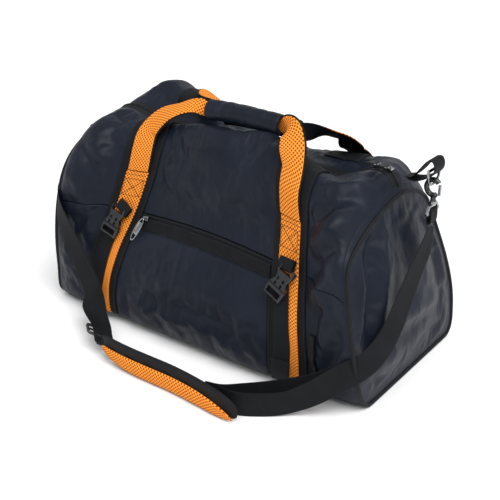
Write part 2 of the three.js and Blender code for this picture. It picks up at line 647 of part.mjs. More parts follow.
const STRAP_TAIL = [
  stop([136, -228, FLOOR_EDGE], [0.3, -1, 0]), stop([170, -216, FLOOR_EDGE], [0.5, -0.9, 0]),
  stop([204, -202, 26], [0.5, -0.9, 0]), stop([236, -190, 40], [0.5, -0.9, 0.1]),
  stop([262, -184, 56], [0.6, -0.8, 0.2]),
];

const PAD_MIDDLE = [34, -256];
const PAD_LENGTH = 262;
const PAD_HEIGHT = 44;

// The pad stands on its long edge, its ends drawn back a little towards the bag.
function padLayer(length, height, offset, thickness) {
  const half = length / 2;
  const profile = ovalPoints(half, height / 2, 24, [0, 0], 0.35);
  return bend(slab(profile, [], thickness, 0.8), ({ x, y, z }) => {
    const drawn = 10 * (x / half) ** 4 * (half / (PAD_LENGTH / 2)) ** 4;
    return new THREE.Vector3(PAD_MIDDLE[0] + x, PAD_MIDDLE[1] - offset - z + drawn, PAD_HEIGHT / 2 + 0.2 + y);
  });
}

function adjusterPlate() {
  const frame = slab([[-24, -11], [24, -11], [24, 11], [-24, 11]], [], 3, 0.6);
  const slots = [-5.6, 5.6].map((y) => block([-20.5, y - 3, -1], [20.5, y + 3, 4]));
  return joined([frame], slots);
}

function addShoulderStrap() {
  add('shoulder_strap_left', ribbon(STRAP_LEFT, WEBBING_THICKNESS, 34), webbing());
  add('shoulder_strap_right', ribbon(STRAP_RIGHT, WEBBING_THICKNESS, 34), webbing());
  add('shoulder_strap_tail', ribbon(STRAP_TAIL, WEBBING_THICKNESS, 16), webbing());
  add('pad_backing', padLayer(PAD_LENGTH, PAD_HEIGHT, 0, 6), trim());
  add('pad_mesh', padLayer(PAD_LENGTH - 16, PAD_HEIGHT - 12, 6.4, 5).translate(0, 0, -4), orangeMesh());
  const adjuster = add('strap_adjuster', adjusterPlate(), plastic());
  adjuster.position.set(-108, -241, FLOOR_EDGE + 5.6);
  adjuster.rotation.set(Math.PI / 2, 0, 0);
  adjuster.rotateZ(Math.PI / 2);
}

// ---------------------------------------------------------------- the whole bag

addPanels();
addBaseBoard();
addZips();
addTag();
for (const [side, sign] of [['left', -1], ['right', 1]]) {
  addEndPanel(side, sign);
  addPiping(side, sign);
  addBands(side, BANDS[side]);
  addBuckle(side, BANDS[side]);
  addEndHardware(side, sign);
}
addHandle('front');
addHandle('back');
addMainSlider('a');
addMainSlider('b');
addPocketSlider();
addShoulderStrap();

export default bag;
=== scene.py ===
import json
import math

import bpy
import numpy as np
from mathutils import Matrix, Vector, noise


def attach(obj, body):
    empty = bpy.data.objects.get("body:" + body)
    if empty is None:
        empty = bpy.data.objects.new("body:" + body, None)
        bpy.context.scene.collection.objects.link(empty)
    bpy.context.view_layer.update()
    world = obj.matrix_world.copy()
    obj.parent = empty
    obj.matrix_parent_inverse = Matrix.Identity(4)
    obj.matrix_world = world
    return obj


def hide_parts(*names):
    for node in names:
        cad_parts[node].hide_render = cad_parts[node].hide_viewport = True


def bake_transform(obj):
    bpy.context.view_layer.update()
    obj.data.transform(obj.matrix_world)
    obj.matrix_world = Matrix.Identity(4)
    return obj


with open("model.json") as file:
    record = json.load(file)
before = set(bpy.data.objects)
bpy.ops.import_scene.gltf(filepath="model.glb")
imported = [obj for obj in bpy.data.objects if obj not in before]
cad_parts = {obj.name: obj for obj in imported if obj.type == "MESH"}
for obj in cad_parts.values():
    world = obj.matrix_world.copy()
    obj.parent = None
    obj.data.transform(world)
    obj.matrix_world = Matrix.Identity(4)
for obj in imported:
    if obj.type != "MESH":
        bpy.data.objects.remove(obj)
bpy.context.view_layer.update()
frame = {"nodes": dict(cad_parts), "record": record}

NODES = frame["nodes"]
MM = 0.001

# ---- camera, floor and light

CAMERA_AT = (0.815, -1.106, 0.758)
CAMERA_DOWN, CAMERA_TURN = 25.39, 36.15
# Name, place, target and size of each area light in metres, and its power in watts.
LIGHTS = [
    ("key", (0.5, -1.7, 2.1), (0, 0, 0.15), (1.6, 1.2), 19),
    ("left", (-2.1, -0.9, 1.3), (0, 0, 0.15), (1.4, 1.6), 6),
    ("right", (2.2, 0.5, 1.5), (0, 0, 0.15), (1.4, 1.4), 8),
    ("back", (-0.3, 2.2, 1.8), (0, 0, 0.2), (2.0, 1.0), 8),
]
SKY_FROM = (0.55, -0.2, 0.9)
SKY_SPREAD, SKY_POWER, WORLD_POWER = 38, 2.3, 0.56
FLOOR_SIZE = 60


def placed(name, data):
    made = bpy.data.objects.new(name, data)
    bpy.context.collection.objects.link(made)
    return made


def add_camera():
    data = bpy.data.cameras.new("camera")
    data.sensor_width = 36
    data.lens = 68.1
    data.clip_start = 0.05
    data.shift_x, data.shift_y = -0.0054, 0.0082
    camera = placed("camera", data)
    camera.location = CAMERA_AT
    camera.rotation_euler = (math.radians(90 - CAMERA_DOWN), 0, math.radians(CAMERA_TURN))
    bpy.context.scene.camera = camera
    bpy.context.scene.view_settings.view_transform = "Standard"


def add_studio():
    bpy.ops.mesh.primitive_plane_add(size=FLOOR_SIZE, location=(0, 0, 0))
    floor = bpy.context.object
    floor.name = "floor"
    floor.data.materials.append(Shade("floor", (0.9, 0.9, 0.905), 0.7).material)
    world = bpy.data.worlds.new("studio")
    world.use_nodes = True
    background = world.node_tree.nodes["Background"].inputs
    background["Color"].default_value = (1, 1, 1, 1)
    background["Strength"].default_value = WORLD_POWER
    bpy.context.scene.world = world
    sky = placed("sky", bpy.data.lights.new("sky", "SUN"))
    sky.data.energy = SKY_POWER
    sky.data.angle = math.radians(SKY_SPREAD)
    sky.rotation_euler = Vector(SKY_FROM).to_track_quat("Z", "Y").to_euler()
    for name, place, target, size, power in LIGHTS:
        data = bpy.data.lights.new(name, "AREA")
        data.shape = "RECTANGLE"
        data.size, data.size_y = size
        data.energy = power
        light = placed(name, data)
        light.location = place
        light.rotation_euler = (Vector(target) - Vector(place)).to_track_quat("-Z", "Y").to_euler()


# ---- materials


class Shade:
    """A principled material with helpers for its nodes."""

    def __init__(self, name, color, roughness, **sockets):
        self.material = bpy.data.materials.new(name)
        self.material.use_nodes = True
        self.tree = self.material.node_tree
        self.surface = self.tree.nodes["Principled BSDF"]
        self.set(self.surface, Base_Color=(*color, 1), Roughness=roughness, **sockets)
        self.color = color
        self.height = None

    def set(self, node, **sockets):
        for key, value in sockets.items():
            node.inputs[key.replace("_", " ")].default_value = value

    def join(self, source, target):
        self.tree.links.new(source, target)

    def node(self, kind, source, socket, result, settings=(), **sockets):
        """A node of one kind fed by source at its socket. Gives its result."""
        made = self.tree.nodes.new(f"ShaderNode{kind}")
        for key, value in settings:
            setattr(made, key, value)
        self.set(made, **sockets)
        if source is not None:
            self.join(source, made.inputs[socket])
        return made.outputs[result]

    def place(self, scale=(1, 1, 1), turn=0.0, on_cloth=True):
        if on_cloth:
            source = self.node("Attribute", None, "", "Vector", [("attribute_name", "cloth")])
        else:
            source = self.node("TexCoord", None, "", "Object")
        return self.node("Mapping", source, "Vector", "Vector", Scale=scale, Rotation=(0, 0, turn))

    def noise(self, where, scale, detail=3.0):
        return self.node("TexNoise", where, "Vector", "Fac", Scale=scale, Detail=detail)

    def wave(self, where, scale, direction):
        kind = [("bands_direction", direction), ("wave_profile", "SIN")]
        return self.node("TexWave", where, "Vector", "Fac", kind, Scale=scale, Distortion=0.0)

    def cells(self, where, scale):
        kind = [("feature", "F1"), ("voronoi_dimensions", "2D")]
        return self.node("TexVoronoi", where, "Vector", "Distance", kind, Scale=scale, Randomness=0.0)

    def ramp(self, source, stops):
        color = self.node("ValToRGB", source, "Fac", "Color")
        elements = color.node.color_ramp.elements
        while len(elements) < len(stops):
            elements.new(0.5)
        for element, (at, value) in zip(elements, stops):
            element.position = at
            element.color = (*value, 1)
        return color

    def bump(self, source, strength, distance):
        """Adds a layer of relief, distance in metres, over the ones before it."""
        normal = self.node("Bump", source, "Height", "Normal", Strength=strength, Distance=distance)
        if self.height is not None:
            self.join(self.height, normal.node.inputs["Normal"])
        self.height = normal
        self.join(normal, self.surface.inputs["Normal"])

    def tint(self, source, low, high):
        """Colour between low and high times the base colour."""
        stops = [(0.3, [c * low for c in self.color]), (0.7, [min(c * high, 1) for c in self.color])]
        self.join(self.ramp(source, stops), self.surface.inputs["Base Color"])

    def rough(self, source, low, high):
        spread = self.node("MapRange", source, "Value", "Result", To_Min=low, To_Max=high)
        self.join(spread, self.surface.inputs["Roughness"])


def nylon_cloth():
    shade = Shade("nylon cloth", (0.0072, 0.0100, 0.0176), 0.4, Specular_IOR_Level=0.14)
    where = shade.place()
    shade.tint(shade.noise(where, 0.012, 4), 0.8, 1.25)
    shade.rough(shade.noise(where, 0.05, 4), 0.34, 0.5)
    shade.bump(shade.noise(where, 0.07, 4), 0.2, 0.0014)
    # Sharp crinkles that cross each other at a slant, large ones and small ones.
    crest = [(0.40, (0, 0, 0)), (0.50, (1, 1, 1)), (0.60, (0, 0, 0))]
    for turn, scale, depth in ((0.6, 0.016, 0.0013), (-0.5, 0.028, 0.0008)):
        creases = shade.noise(shade.place((1, 0.55, 1), turn), scale, 1.5)
        shade.bump(shade.ramp(creases, crest), 0.7, depth)
    for direction in "XY":
        shade.bump(shade.wave(where, 0.5, direction), 0.1, 0.0002)
    return shade.material


def mesh_cloth():
    shade = Shade("spacer mesh cloth", (0.70, 0.17, 0.014), 0.8, Specular_IOR_Level=0.1)
    holes = shade.cells(shade.place(turn=math.radians(45)), 0.25)
    # The ramp darkens the middle of each hole to a deep red. That is painted shade in the mesh's holes,
    # which are only a bump here.
    net_with_hole_shade = [(0.22, (0.22, 0.026, 0.003)), (0.33, (0.66, 0.165, 0.014)), (0.50, (0.90, 0.34, 0.048))]
    shade.join(shade.ramp(holes, net_with_hole_shade), shade.surface.inputs["Base Color"])
    shade.bump(holes, 0.9, 0.0014)
    shade.bump(shade.noise(shade.place(), 0.8, 2), 0.2, 0.0004)
    return shade.material


def woven(name, color, roughness, level, tint, ribs):
    """Webbing or trim. tint is its noise scale and lightest share, and ribs are its waves in relief."""
    shade = Shade(name, color, roughness, Specular_IOR_Level=level)
    where = shade.place()
    shade.tint(shade.noise(where, tint[0]), 0.8, tint[1])
    for scale, direction, strength, depth in ribs:
        shade.bump(shade.wave(where, scale, direction), strength, depth)
    return shade.material


def hard(name, color, roughness, grain, spread=None, **sockets):
    """Plastic, metal or thread. grain is its fine relief, and spread how its roughness varies."""
    shade = Shade(name, color, roughness, **sockets)
    where = shade.place(on_cloth=False)
    if spread:
        scale, low, high = spread
        shade.rough(shade.noise(where, scale), low, high)
    scale, strength, depth = grain
    shade.bump(shade.noise(where, scale, 2), strength, depth)
    return shade.material


add_camera()
add_studio()
NYLON = nylon_cloth()
WEBBING = woven("webbing cloth", (0.0052, 0.0058, 0.0076), 0.7, 0.16, (0.03, 1.25),
                [(0.24, "Y", 0.5, 0.0006), (0.33, "X", 0.3, 0.0004)])
MESH = mesh_cloth()
TRIM = woven("trim cloth", (0.0042, 0.0047, 0.0062), 0.6, 0.2, (0.06, 1.3),
             [(0.42, "Y", 0.4, 0.0004)])
PLASTIC = hard("moulded plastic", (0.012, 0.013, 0.015), 0.24, (900, 0.08, 0.0002),
               (260, 0.18, 0.34), Specular_IOR_Level=0.6)
METAL = hard("plated metal", (0.30, 0.31, 0.325), 0.18, (420, 0.3, 0.0006), (180, 0.1, 0.28),
             Metallic=1.0)
THREAD_GRAIN = (1500, 0.2, 0.0002)
THREAD = hard("dark thread", (0.006, 0.006, 0.008), 0.6, THREAD_GRAIN)
ORANGE_THREAD = hard("orange thread", (0.050, 0.013, 0.005), 0.6, THREAD_GRAIN)

# ---- the slumped skin, as in the CAD model, in mm

STATIONS = [
    (-300, 136, 138, (-138, 60), (-140, 120), (-136, 176), (-124, 222), (-102, 250), (-62, 272),
     (-12, 282), (12, 284), (54, 284), (98, 268), (126, 228), (140, 148), (140, 68)),
    (-282, 144, 146, (-147, 60), (-146, 120), (-142, 180), (-134, 230), (-114, 268), (-70, 296),
     (-12, 306), (12, 309), (62, 318), (112, 300), (138, 244), (148, 150), (148, 70)),
    (-215, 148, 150, (-150, 60), (-136, 118), (-112, 180), (-98, 236), (-84, 280), (-56, 308),
     (-12, 302), (12, 304), (62, 334), (110, 312), (140, 246), (152, 150), (154, 70)),
    (-150, 150, 152, (-154, 60), (-136, 118), (-106, 182), (-90, 240), (-77, 290), (-56, 318),
     (-12, 298), (12, 295), (58, 306), (102, 288), (136, 236), (153, 148), (156, 68)),
    (0, 152, 152, (-162, 60), (-150, 122), (-114, 188), (-98, 242), (-84, 300), (-62, 334),
     (-16, 300), (8, 291), (58, 281), (100, 264), (138, 220), (156, 142), (158, 65)),
    (150, 152, 150, (-160, 60), (-152, 116), (-122, 180), (-98, 238), (-86, 300), (-66, 334),
     (-16, 292), (10, 284), (58, 286), (98, 268), (132, 216), (152, 142), (155, 65)),
    (215, 148, 147, (-156, 60), (-154, 114), (-134, 178), (-112, 236), (-100, 276), (-74, 303),
     (-14, 283), (10, 282), (56, 292), (94, 270), (124, 212), (146, 138), (150, 64)),
    (282, 144, 140, (-160, 60), (-168, 118), (-166, 178), (-156, 230), (-130, 262), (-78, 284),
     (-12, 298), (12, 298), (50, 285), (82, 257), (102, 205), (124, 130), (138, 62)),
    (300, 136, 130, (-160, 58), (-170, 114), (-166, 172), (-152, 220), (-116, 240), (-70, 256),
     (-14, 266), (10, 266), (44, 258), (70, 240), (90, 194), (114, 126), (128, 62)),
]
LEAN_AT = np.array([-300, -215, -150, 0, 150, 215, 300.0])
LEAN_BY = np.array([22, 42, 48, 0, 40, 42, 36.0])
LEAN_START, LEAN_RISE = 50.0, 270.0
# Lines run round the bag from the middle of its base: up the front, over the zip and down the back.
LINES = 20
CORNER_HEIGHT = 13.0
HALF_LENGTH = 300.0
PIPING_RADIUS = 3.2
PANEL_END = HALF_LENGTH - 2 * PIPING_RADIUS - 1.2
BAND_X = 183.0
BAND_WIDTH = 64.0
STRAP_WIDTH = 38.0
SIDES = {"left": -1, "right": 1}


STATION_X = np.array([row[0] for row in STATIONS], float)
STATION_LINES = np.array([
    [(0, 0), (-0.47 * front, 0), (-0.84 * front, 0), (-front, CORNER_HEIGHT), *climb,
     (back, CORNER_HEIGHT), (0.84 * back, 0), (0.47 * back, 0)]
    for _, front, back, *climb in STATIONS
])


def cubic_along(positions, samples, u):
    """Cubic interpolation through samples, with no curvature at the two ends."""
    u = np.atleast_1d(np.asarray(u, float))
    k = np.clip(np.searchsorted(positions, u, side="right"), 1, len(positions) - 1) - 1
    (t_before, t0, t1, t_after), picks = (
        [np.concatenate([rows[1:2], rows, rows[-2:-1]])[k + step] for step in range(4)]
        for rows in (positions, samples)
    )
    half = (t1 - t0) / 2
    wp, wn = half / (t0 - t_before), half / (t_after - t1)
    p = (u - t0) / (t1 - t0)
    weights = (
        -wp * p**3 + 2 * wp * p**2 - wp * p,
        (1 + wp) * p**3 + (-1.5 - 2 * wp) * p**2 + (-0.5 + wp) * p + 1,
        (-1 - wn) * p**3 + (1.5 + wn) * p**2 + 0.5 * p,
        wn * p**3 - wn * p**2,
    )
    shape = (-1,) + (1,) * (samples.ndim - 1)
    return sum(w.reshape(shape) * s for w, s in zip(weights, picks))


def catmull(p0, p1, p2, p3, w):
    """A centripetal Catmull-Rom curve between p1 and p2."""
    def gap(a, b):
        return np.maximum(((b - a) ** 2).sum(-1) ** 0.25, 1e-4)[..., None]

    d0, d1, d2 = gap(p0, p1), gap(p1, p2), gap(p2, p3)
    m1 = ((p1 - p0) / d0 - (p2 - p0) / (d0 + d1) + (p2 - p1) / d1) * d1
    m2 = ((p2 - p1) / d1 - (p3 - p1) / (d1 + d2) + (p3 - p2) / d2) * d1
    w = w[..., None]
    return p1 + m1 * w + (-3 * p1 + 3 * p2 - 2 * m1 - m2) * w**2 + (2 * p1 - 2 * p2 + m1 + m2) * w**3


def lean(u, z):
    rise = np.clip((z - LEAN_START) / LEAN_RISE, 0, 1)
    return -np.sign(u) * cubic_along(LEAN_AT, LEAN_BY, u) * rise * rise * (3 - 2 * rise)


def skin(u, line):
    """Points of the plain skin, in mm, for arrays of station positions and line numbers."""
    u, line = (a.ravel() for a in np.broadcast_arrays(np.asarray(u, float), np.asarray(line, float)))
    control = cubic_along(STATION_X, STATION_LINES, u)
    k = np.floor(line).astype(int)
    rows = np.arange(len(u))
    picks = [control[rows, (k + step) % LINES] for step in (-1, 0, 1, 2)]
    yz = catmull(*picks, line - k)
    z = np.maximum(yz[:, 1], 0)
    return np.stack([u + lean(u, z), yz[:, 0], z], 1)


def unit(v):
    return v / np.maximum(np.linalg.norm(v, axis=-1, keepdims=True), 1e-12)


def so_far(path):
    """Length along a path at each of its points."""
    return np.concatenate([[0], np.cumsum(np.linalg.norm(np.diff(path, axis=0), axis=1))])


def square(low, high, count, second=None):
    """A grid of values from low to high in both directions, or with its own count in the second."""
    ends = (low, high)
    return np.meshgrid(np.linspace(*ends, count), np.linspace(*ends, second or count), indexing="ij")


def capped(moved, cap):
    """Moves softened so that none is longer than cap."""
    length = np.linalg.norm(moved, axis=1, keepdims=True)
    return moved * (cap * np.tanh(length / cap) / np.maximum(length, 1e-9))


def between(place, known, rows):
    """Rows of numbers interpolated at places along the known ones."""
    return np.stack([np.interp(place, known, column) for column in rows.T], 1)


def squared(value, power):
    return np.sign(value) * np.abs(value) ** power


def skin_axes(u, line):
    along = unit(skin(u + 2, line) - skin(u - 2, line))
    around = unit(skin(u, line + 0.04) - skin(u, line - 0.04))
    return along, around, unit(np.cross(along, around))


# ---- the creased cloth of the bag

CLOTH_STEP = 5.0
LINE_SPAN = 56.0
# Creases of the nylon: height in mm, half width in mm, and the path as (station, line).
CREASES = [
    (3.2, 9, [(-292, 8.9), (-262, 8.3), (-232, 7.3), (-224, 6.4)]),
    (-2.6, 8, [(-288, 8.2), (-258, 7.5), (-236, 6.8)]),
    (2.4, 8, [(-290, 7.2), (-262, 6.5), (-238, 5.7), (-222, 4.9)]),
    (-2.2, 9, [(-286, 5.6), (-258, 5.0), (-230, 4.5)]),
    (2.2, 9, [(-284, 4.6), (-252, 4.1), (-226, 3.8)]),
    (3.0, 10, [(-262, 11.3), (-240, 12.2), (-226, 13.0)]),
    (4.0, 11, [(-226, 9.2), (-240, 9.6), (-266, 9.9)]),
    (-3.0, 9, [(-222, 8.6), (-238, 9.1), (-268, 9.4)]),
    (2.6, 12, [(-120, 8.6), (-70, 8.1), (-20, 8.0), (30, 8.3)]),
    (-2.4, 11, [(-110, 8.1), (-60, 7.6), (0, 7.5)]),
    (2.2, 10, [(128, 8.5), (96, 7.9), (52, 7.3), (10, 7.0)]),
    (-2.4, 9, [(134, 8.0), (104, 7.4), (62, 6.9), (20, 6.7)]),
    (2.0, 9, [(138, 7.2), (110, 6.8), (76, 6.5)]), (1.8, 10, [(-138, 7.4), (-108, 6.9), (-70, 6.6)]),
    (2.6, 13, [(-120, 4.9), (-50, 4.7), (30, 4.9), (120, 4.6)]),
    (-2.2, 12, [(-128, 4.3), (-60, 4.2), (40, 4.3), (128, 4.1)]),
    (1.8, 10, [(-130, 5.4), (-80, 5.1), (-40, 5.2)]), (1.8, 10, [(132, 5.4), (96, 5.1), (50, 5.25)]),
    (6.0, 11, [(288, 8.77), (274, 7.75), (221, 6.57)]), (-4.6, 9, [(292, 8.2), (274, 7.2), (228, 6.3)]),
    (5.2, 11, [(298, 7.1), (265, 6.17), (215, 5.42)]),
    (-4.2, 10, [(292, 6.6), (262, 5.75), (222, 5.1)]), (-3.4, 8, [(288, 6.9), (268, 6.5), (223, 6.0)]),
    (4.2, 9, [(219, 8.5), (261, 9.03), (289, 9.5)]), (3.0, 7, [(262, 9.05), (284, 9.0), (296, 8.95)]),
    (-3.4, 8, [(238, 8.5), (262, 8.6), (288, 9.15)]), (-4.6, 9, [(296, 5.55), (277, 4.81), (260, 4.4)]),
    (3.4, 9, [(292, 5.0), (270, 4.25)]), (3.0, 8, [(264, 5.95), (252, 5.3), (246, 4.6)]),
    (3.0, 9, [(219, 7.9), (240, 7.7), (262, 8.0)]), (-3.0, 8, [(219, 7.3), (240, 7.2), (264, 7.5)]),
    (2.6, 9, [(219, 4.6), (240, 4.0), (262, 3.7)]), (3.0, 12, [(222, 10.6), (238, 9.9), (262, 9.5)]),
    (2.6, 11, [(226, 11.4), (246, 12.2), (272, 12.6)]),
    (-2.4, 11, [(218, 12.4), (240, 13.0), (268, 13.4)]),
    (2.6, 12, [(-120, 12.4), (-60, 12.9), (10, 12.8), (80, 12.4)]),
    (-2.4, 12, [(-110, 13.2), (-40, 13.6), (40, 13.5), (120, 13.0)]),
    (2.4, 12, [(-130, 14.8), (-60, 15.2), (30, 15.0), (130, 15.3)]),
    (2.2, 11, [(-284, 14.2), (-254, 14.9), (-226, 15.6)]),
    (2.2, 11, [(284, 14.4), (254, 15.0), (224, 15.5)]),
    (-2.0, 10, [(-284, 13.4), (-252, 13.7), (-222, 14.2)]),
]


def crease_at(here, points, height, width):
    """One crease's height at points in a plane, its path given there too."""
    lengths = np.linalg.norm(np.diff(points, axis=0), axis=1)
    starts = so_far(points)
    best = np.full(len(here), 1e9)
    along = np.zeros(len(here))
    for a, b, start, length in zip(points, points[1:], starts, lengths):
        t = np.clip(((here - a) @ (b - a)) / length**2, 0, 1)
        d = np.linalg.norm(here - a - t[:, None] * (b - a), axis=1)
        closer = d < best
        best = np.where(closer, d, best)
        along = np.where(closer, (start + t * length) / starts[-1], along)
    taper = np.sin(np.pi * np.clip(along * 0.94 + 0.03, 0, 1)) ** 0.7
    crest = np.clip(1 - np.sqrt((best / (2 * width)) ** 2 + 0.002), 0, 1)
    return height * taper * crest


def crease_height(here, creases, scale=1):
    return sum(crease_at(here, np.array(path) * scale, height, width)
               for height, width, path in creases)


BAND_SPANS = ((3, 9.5), (11.5, 17))
POCKET_ZIP_LINE = 5.6
ZIP_LINES, BASE_LINES = (10.0, 11.0), (17.0, 23.0)


def held_weight(u, line):
    """1 where seams, zip, bands and base hold the cloth, 0 where it is free."""
    turn = line % LINES
    free = np.ones(len(u))
    on_band = np.any([(turn > low) & (turn < high) for low, high in BAND_SPANS], 0)
    for middle in (-BAND_X, BAND_X):
        near = np.abs(u - middle) - BAND_WIDTH / 2
        free = np.minimum(free, np.where(on_band, np.clip((near + 4) / 26, 0, 1), 1))
    free = np.minimum(free, np.clip((PANEL_END - np.abs(u)) / 24, 0, 1))
    pocket_zip = np.clip((np.abs(turn - POCKET_ZIP_LINE) - 0.5) / 0.6, 0, 1)
    free = np.minimum(free, np.where(np.abs(u) < BAND_X, pocket_zip, 1))
    for low, high in (ZIP_LINES, BASE_LINES):
        past = np.maximum(low - turn, np.minimum(turn - high, 20))
        free = np.minimum(free, np.clip(past * LINE_SPAN / 24, 0, 1))
    free = np.minimum(free, np.clip((turn - 3.0) * LINE_SPAN / 26, 0, 1))
    return 1 - free


def line_samples():
    middle = skin(np.zeros(LINES + 1), np.arange(LINES + 1.0))
    lines = []
    for k in range(LINES):
        length = np.linalg.norm(middle[k + 1] - middle[k])
        lines.extend(k + np.arange(0, 1, 1 / max(2, round(length / CLOTH_STEP))))
    return np.array(lines)


GRID_U = np.linspace(-PANEL_END, PANEL_END, 2 * round(PANEL_END / CLOTH_STEP) + 1)
GRID_LINE = line_samples()
GRID_SHAPE = (len(GRID_U), len(GRID_LINE))


def grid_faces(rows, columns, closed, rows_closed=False):
    index = np.arange(rows * columns).reshape(rows, columns)
    if rows_closed:
        index = np.concatenate([index, index[:1]], 0)
    if closed:
        index = np.concatenate([index, index[:, :1]], 1)
    a, b, c, d = index[:-1, :-1], index[1:, :-1], index[1:, 1:], index[:-1, 1:]
    return np.stack([a, b, c, d], -1).reshape(-1, 4)


def mesh_object(name, points_mm, faces, material, cloth=None):
    mesh = bpy.data.meshes.new(name)
    points = [tuple(p) for p in np.asarray(points_mm).reshape(-1, 3) * MM]
    mesh.from_pydata(points, [], [tuple(int(i) for i in f) for f in faces])
    mesh.materials.append(material)
    mesh.shade_smooth()
    if cloth is not None:
        layer = mesh.attributes.new("cloth", "FLOAT_VECTOR", "POINT")
        layer.data.foreach_set("vector", np.asarray(cloth, np.float32).ravel())
    return placed(name, mesh)


def crumple(points, strength):
    """Small random waviness of soft cloth, the same each run."""
    out = np.empty(len(points))
    for i, p in enumerate(points):
        where = Vector((p[0] * 0.021, p[1] * 0.021, p[2] * 0.027))
        out[i] = noise.noise(where) + 0.5 * noise.noise(where * 2.3)
    return out * strength


CLOTH_SETTINGS = {
    "quality": 4, "mass": 0.12, "air_damping": 3, "tension_stiffness": 18, "compression_stiffness": 10,
    "shear_stiffness": 6, "bending_stiffness": 0.05, "vertex_group_mass": "held", "pin_stiffness": 1,
    "use_pressure": True,
}
CLOTH_FRAMES = 22


def simulate(points, faces, held, spare, pressure):
    """Cloth cut too large by its spare share and held along its seams, so that it creases."""
    cloth = mesh_object("cloth_work", points, faces, NYLON)
    group = cloth.vertex_groups.new(name="held")
    for i, weight in enumerate(held):
        if weight > 0:
            group.add([i], float(weight), "REPLACE")
    modifier = cloth.modifiers.new("cloth", "CLOTH")
    for key, value in CLOTH_SETTINGS.items():
        setattr(modifier.settings, key, value)
    modifier.settings.shrink_min = -spare
    modifier.settings.uniform_pressure_force = pressure
    modifier.settings.effector_weights.gravity = 0
    modifier.collision_settings.use_collision = False
    modifier.point_cache.frame_start = 1
    modifier.point_cache.frame_end = CLOTH_FRAMES + 2
    for at in range(1, CLOTH_FRAMES + 1):
        bpy.context.scene.frame_set(at)
    seen = cloth.evaluated_get(bpy.context.evaluated_depsgraph_get())
    out = np.empty(len(points) * 3, np.float32)
    seen.data.vertices.foreach_get("co", out)
    bpy.context.scene.frame_set(1)
    bpy.data.objects.remove(cloth, do_unlink=True)
    return out.reshape(-1, 3).astype(float) / MM


def soften(grid, rounds):
    """Averages a grid with its neighbours. The girth is closed, and the ends are kept."""
    for _ in range(rounds):
        around = (np.roll(grid, 1, 1) + np.roll(grid, -1, 1)) / 2
        inner = grid.copy()
        inner[1:-1] = (grid[2:] + grid[:-2]) / 2
        mixed = grid * 0.5 + around * 0.25 + inner * 0.25
        mixed[0], mixed[-1] = grid[0], grid[-1]
        grid = mixed
    return grid


SWELL_CAP = 9.0
FOLD_SHARE, CRUMPLE = 1.3, 2.1
SPARE, PRESSURE = 0.035, 1.2


def creased_grid():
    u, line = (a.ravel() for a in np.meshgrid(GRID_U, GRID_LINE, indexing="ij"))
    plain = skin(u, line)
    out = skin_axes(u, line)[2]
    held = held_weight(u, line)
    loose = (1 - held) ** 0.7
    creases = crease_height(np.stack([u, line * LINE_SPAN], 1), CREASES, (1, LINE_SPAN))
    fold = out * (creases * loose)[:, None] * FOLD_SHARE
    start = plain + fold + out * (crumple(plain, CRUMPLE) * loose)[:, None]
    shaped = start
    shaped = simulate(start, grid_faces(*GRID_SHAPE, True), held, SPARE, PRESSURE)
    shaped = np.where(np.isfinite(shaped), shaped, start)
    moved = capped(shaped - plain, SWELL_CAP)
    grid = (plain + moved * (1 - held)[:, None] ** 0.5 + fold).reshape(*GRID_SHAPE, 3)
    base = (GRID_LINE >= 17) | (GRID_LINE <= 3)
    grid[:, base] = plain.reshape(*GRID_SHAPE, 3)[:, base]
    grid[..., 2] = np.maximum(grid[..., 2], 0.0)
    return grid


def grid_normals(grid):
    around = np.roll(grid, -1, 1) - np.roll(grid, 1, 1)
    along = np.gradient(grid, axis=0)
    return unit(np.cross(along, around))


SKIN_GRID = creased_grid()
SKIN_OUT = grid_normals(SKIN_GRID)
# Straps and bands are stiffer than the nylon, so they follow a softened copy of its normals.
BAND_OUT = unit(soften(SKIN_OUT, 4))
GIRTH_MM = so_far(SKIN_GRID[GRID_SHAPE[0] // 2])


def on_cloth(u, line, height, normals=None):
    """Points at a height over the creased cloth, in mm, and their cloth coordinates."""
    normals = BAND_OUT if normals is None else normals
    u, line, height = (a.ravel() for a in np.broadcast_arrays(
        np.asarray(u, float), np.asarray(line, float), np.asarray(height, float)))
    fu = np.clip((u - GRID_U[0]) / (GRID_U[1] - GRID_U[0]), 0, len(GRID_U) - 1.000001)
    i = fu.astype(int)
    a = (fu - i)[:, None]
    turn = line % LINES
    j = np.clip(np.searchsorted(GRID_LINE, turn, side="right") - 1, 0, len(GRID_LINE) - 1)
    nxt = (j + 1) % len(GRID_LINE)
    top = np.where(nxt == 0, float(LINES), GRID_LINE[nxt])
    b = ((turn - GRID_LINE[j]) / (top - GRID_LINE[j]))[:, None]

    def mix(grid):
        low = grid[i, j] * (1 - a) + grid[i + 1, j] * a
        high = grid[i, nxt] * (1 - a) + grid[i + 1, nxt] * a
        return low * (1 - b) + high * b

    girth = np.interp(turn, np.append(GRID_LINE, LINES), np.append(GIRTH_MM, GIRTH_MM[-1] + CLOTH_STEP))
    cloth = np.stack([u, girth, height], 1)
    return mix(SKIN_GRID) + unit(mix(normals)) * height[:, None], cloth


# ---- pieces laid on the cloth


def closed_sheet(name, top, bottom, cloth, material):
    """A closed sheet from two grids of points (rows, columns, 3), outer and inner."""
    size = top.shape[:2]
    faces = grid_faces(*size, False)
    count = size[0] * size[1]
    index = np.arange(count).reshape(size)
    rim = [(p, q, q + count, p + count)
           for edge in (index[0], index[:, -1], index[-1, ::-1], index[::-1, 0])
           for p, q in zip(edge, edge[1:])]
    faces = [*faces, *(faces[:, ::-1] + count), *rim]
    return mesh_object(name, np.stack([top, bottom]), faces, material, np.stack([cloth, cloth]))


def finished(piece, slot, *nodes, body="holdall"):
    if nodes:
        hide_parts(*nodes)
    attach(piece, body)
    return piece


def subdivided(piece):
    modifier = piece.modifiers.new("smooth", "SUBSURF")
    modifier.levels = modifier.render_levels = 1
    return piece


def soft(piece, slot, *nodes, body="holdall"):
    return finished(subdivided(piece), slot, *nodes, body=body)


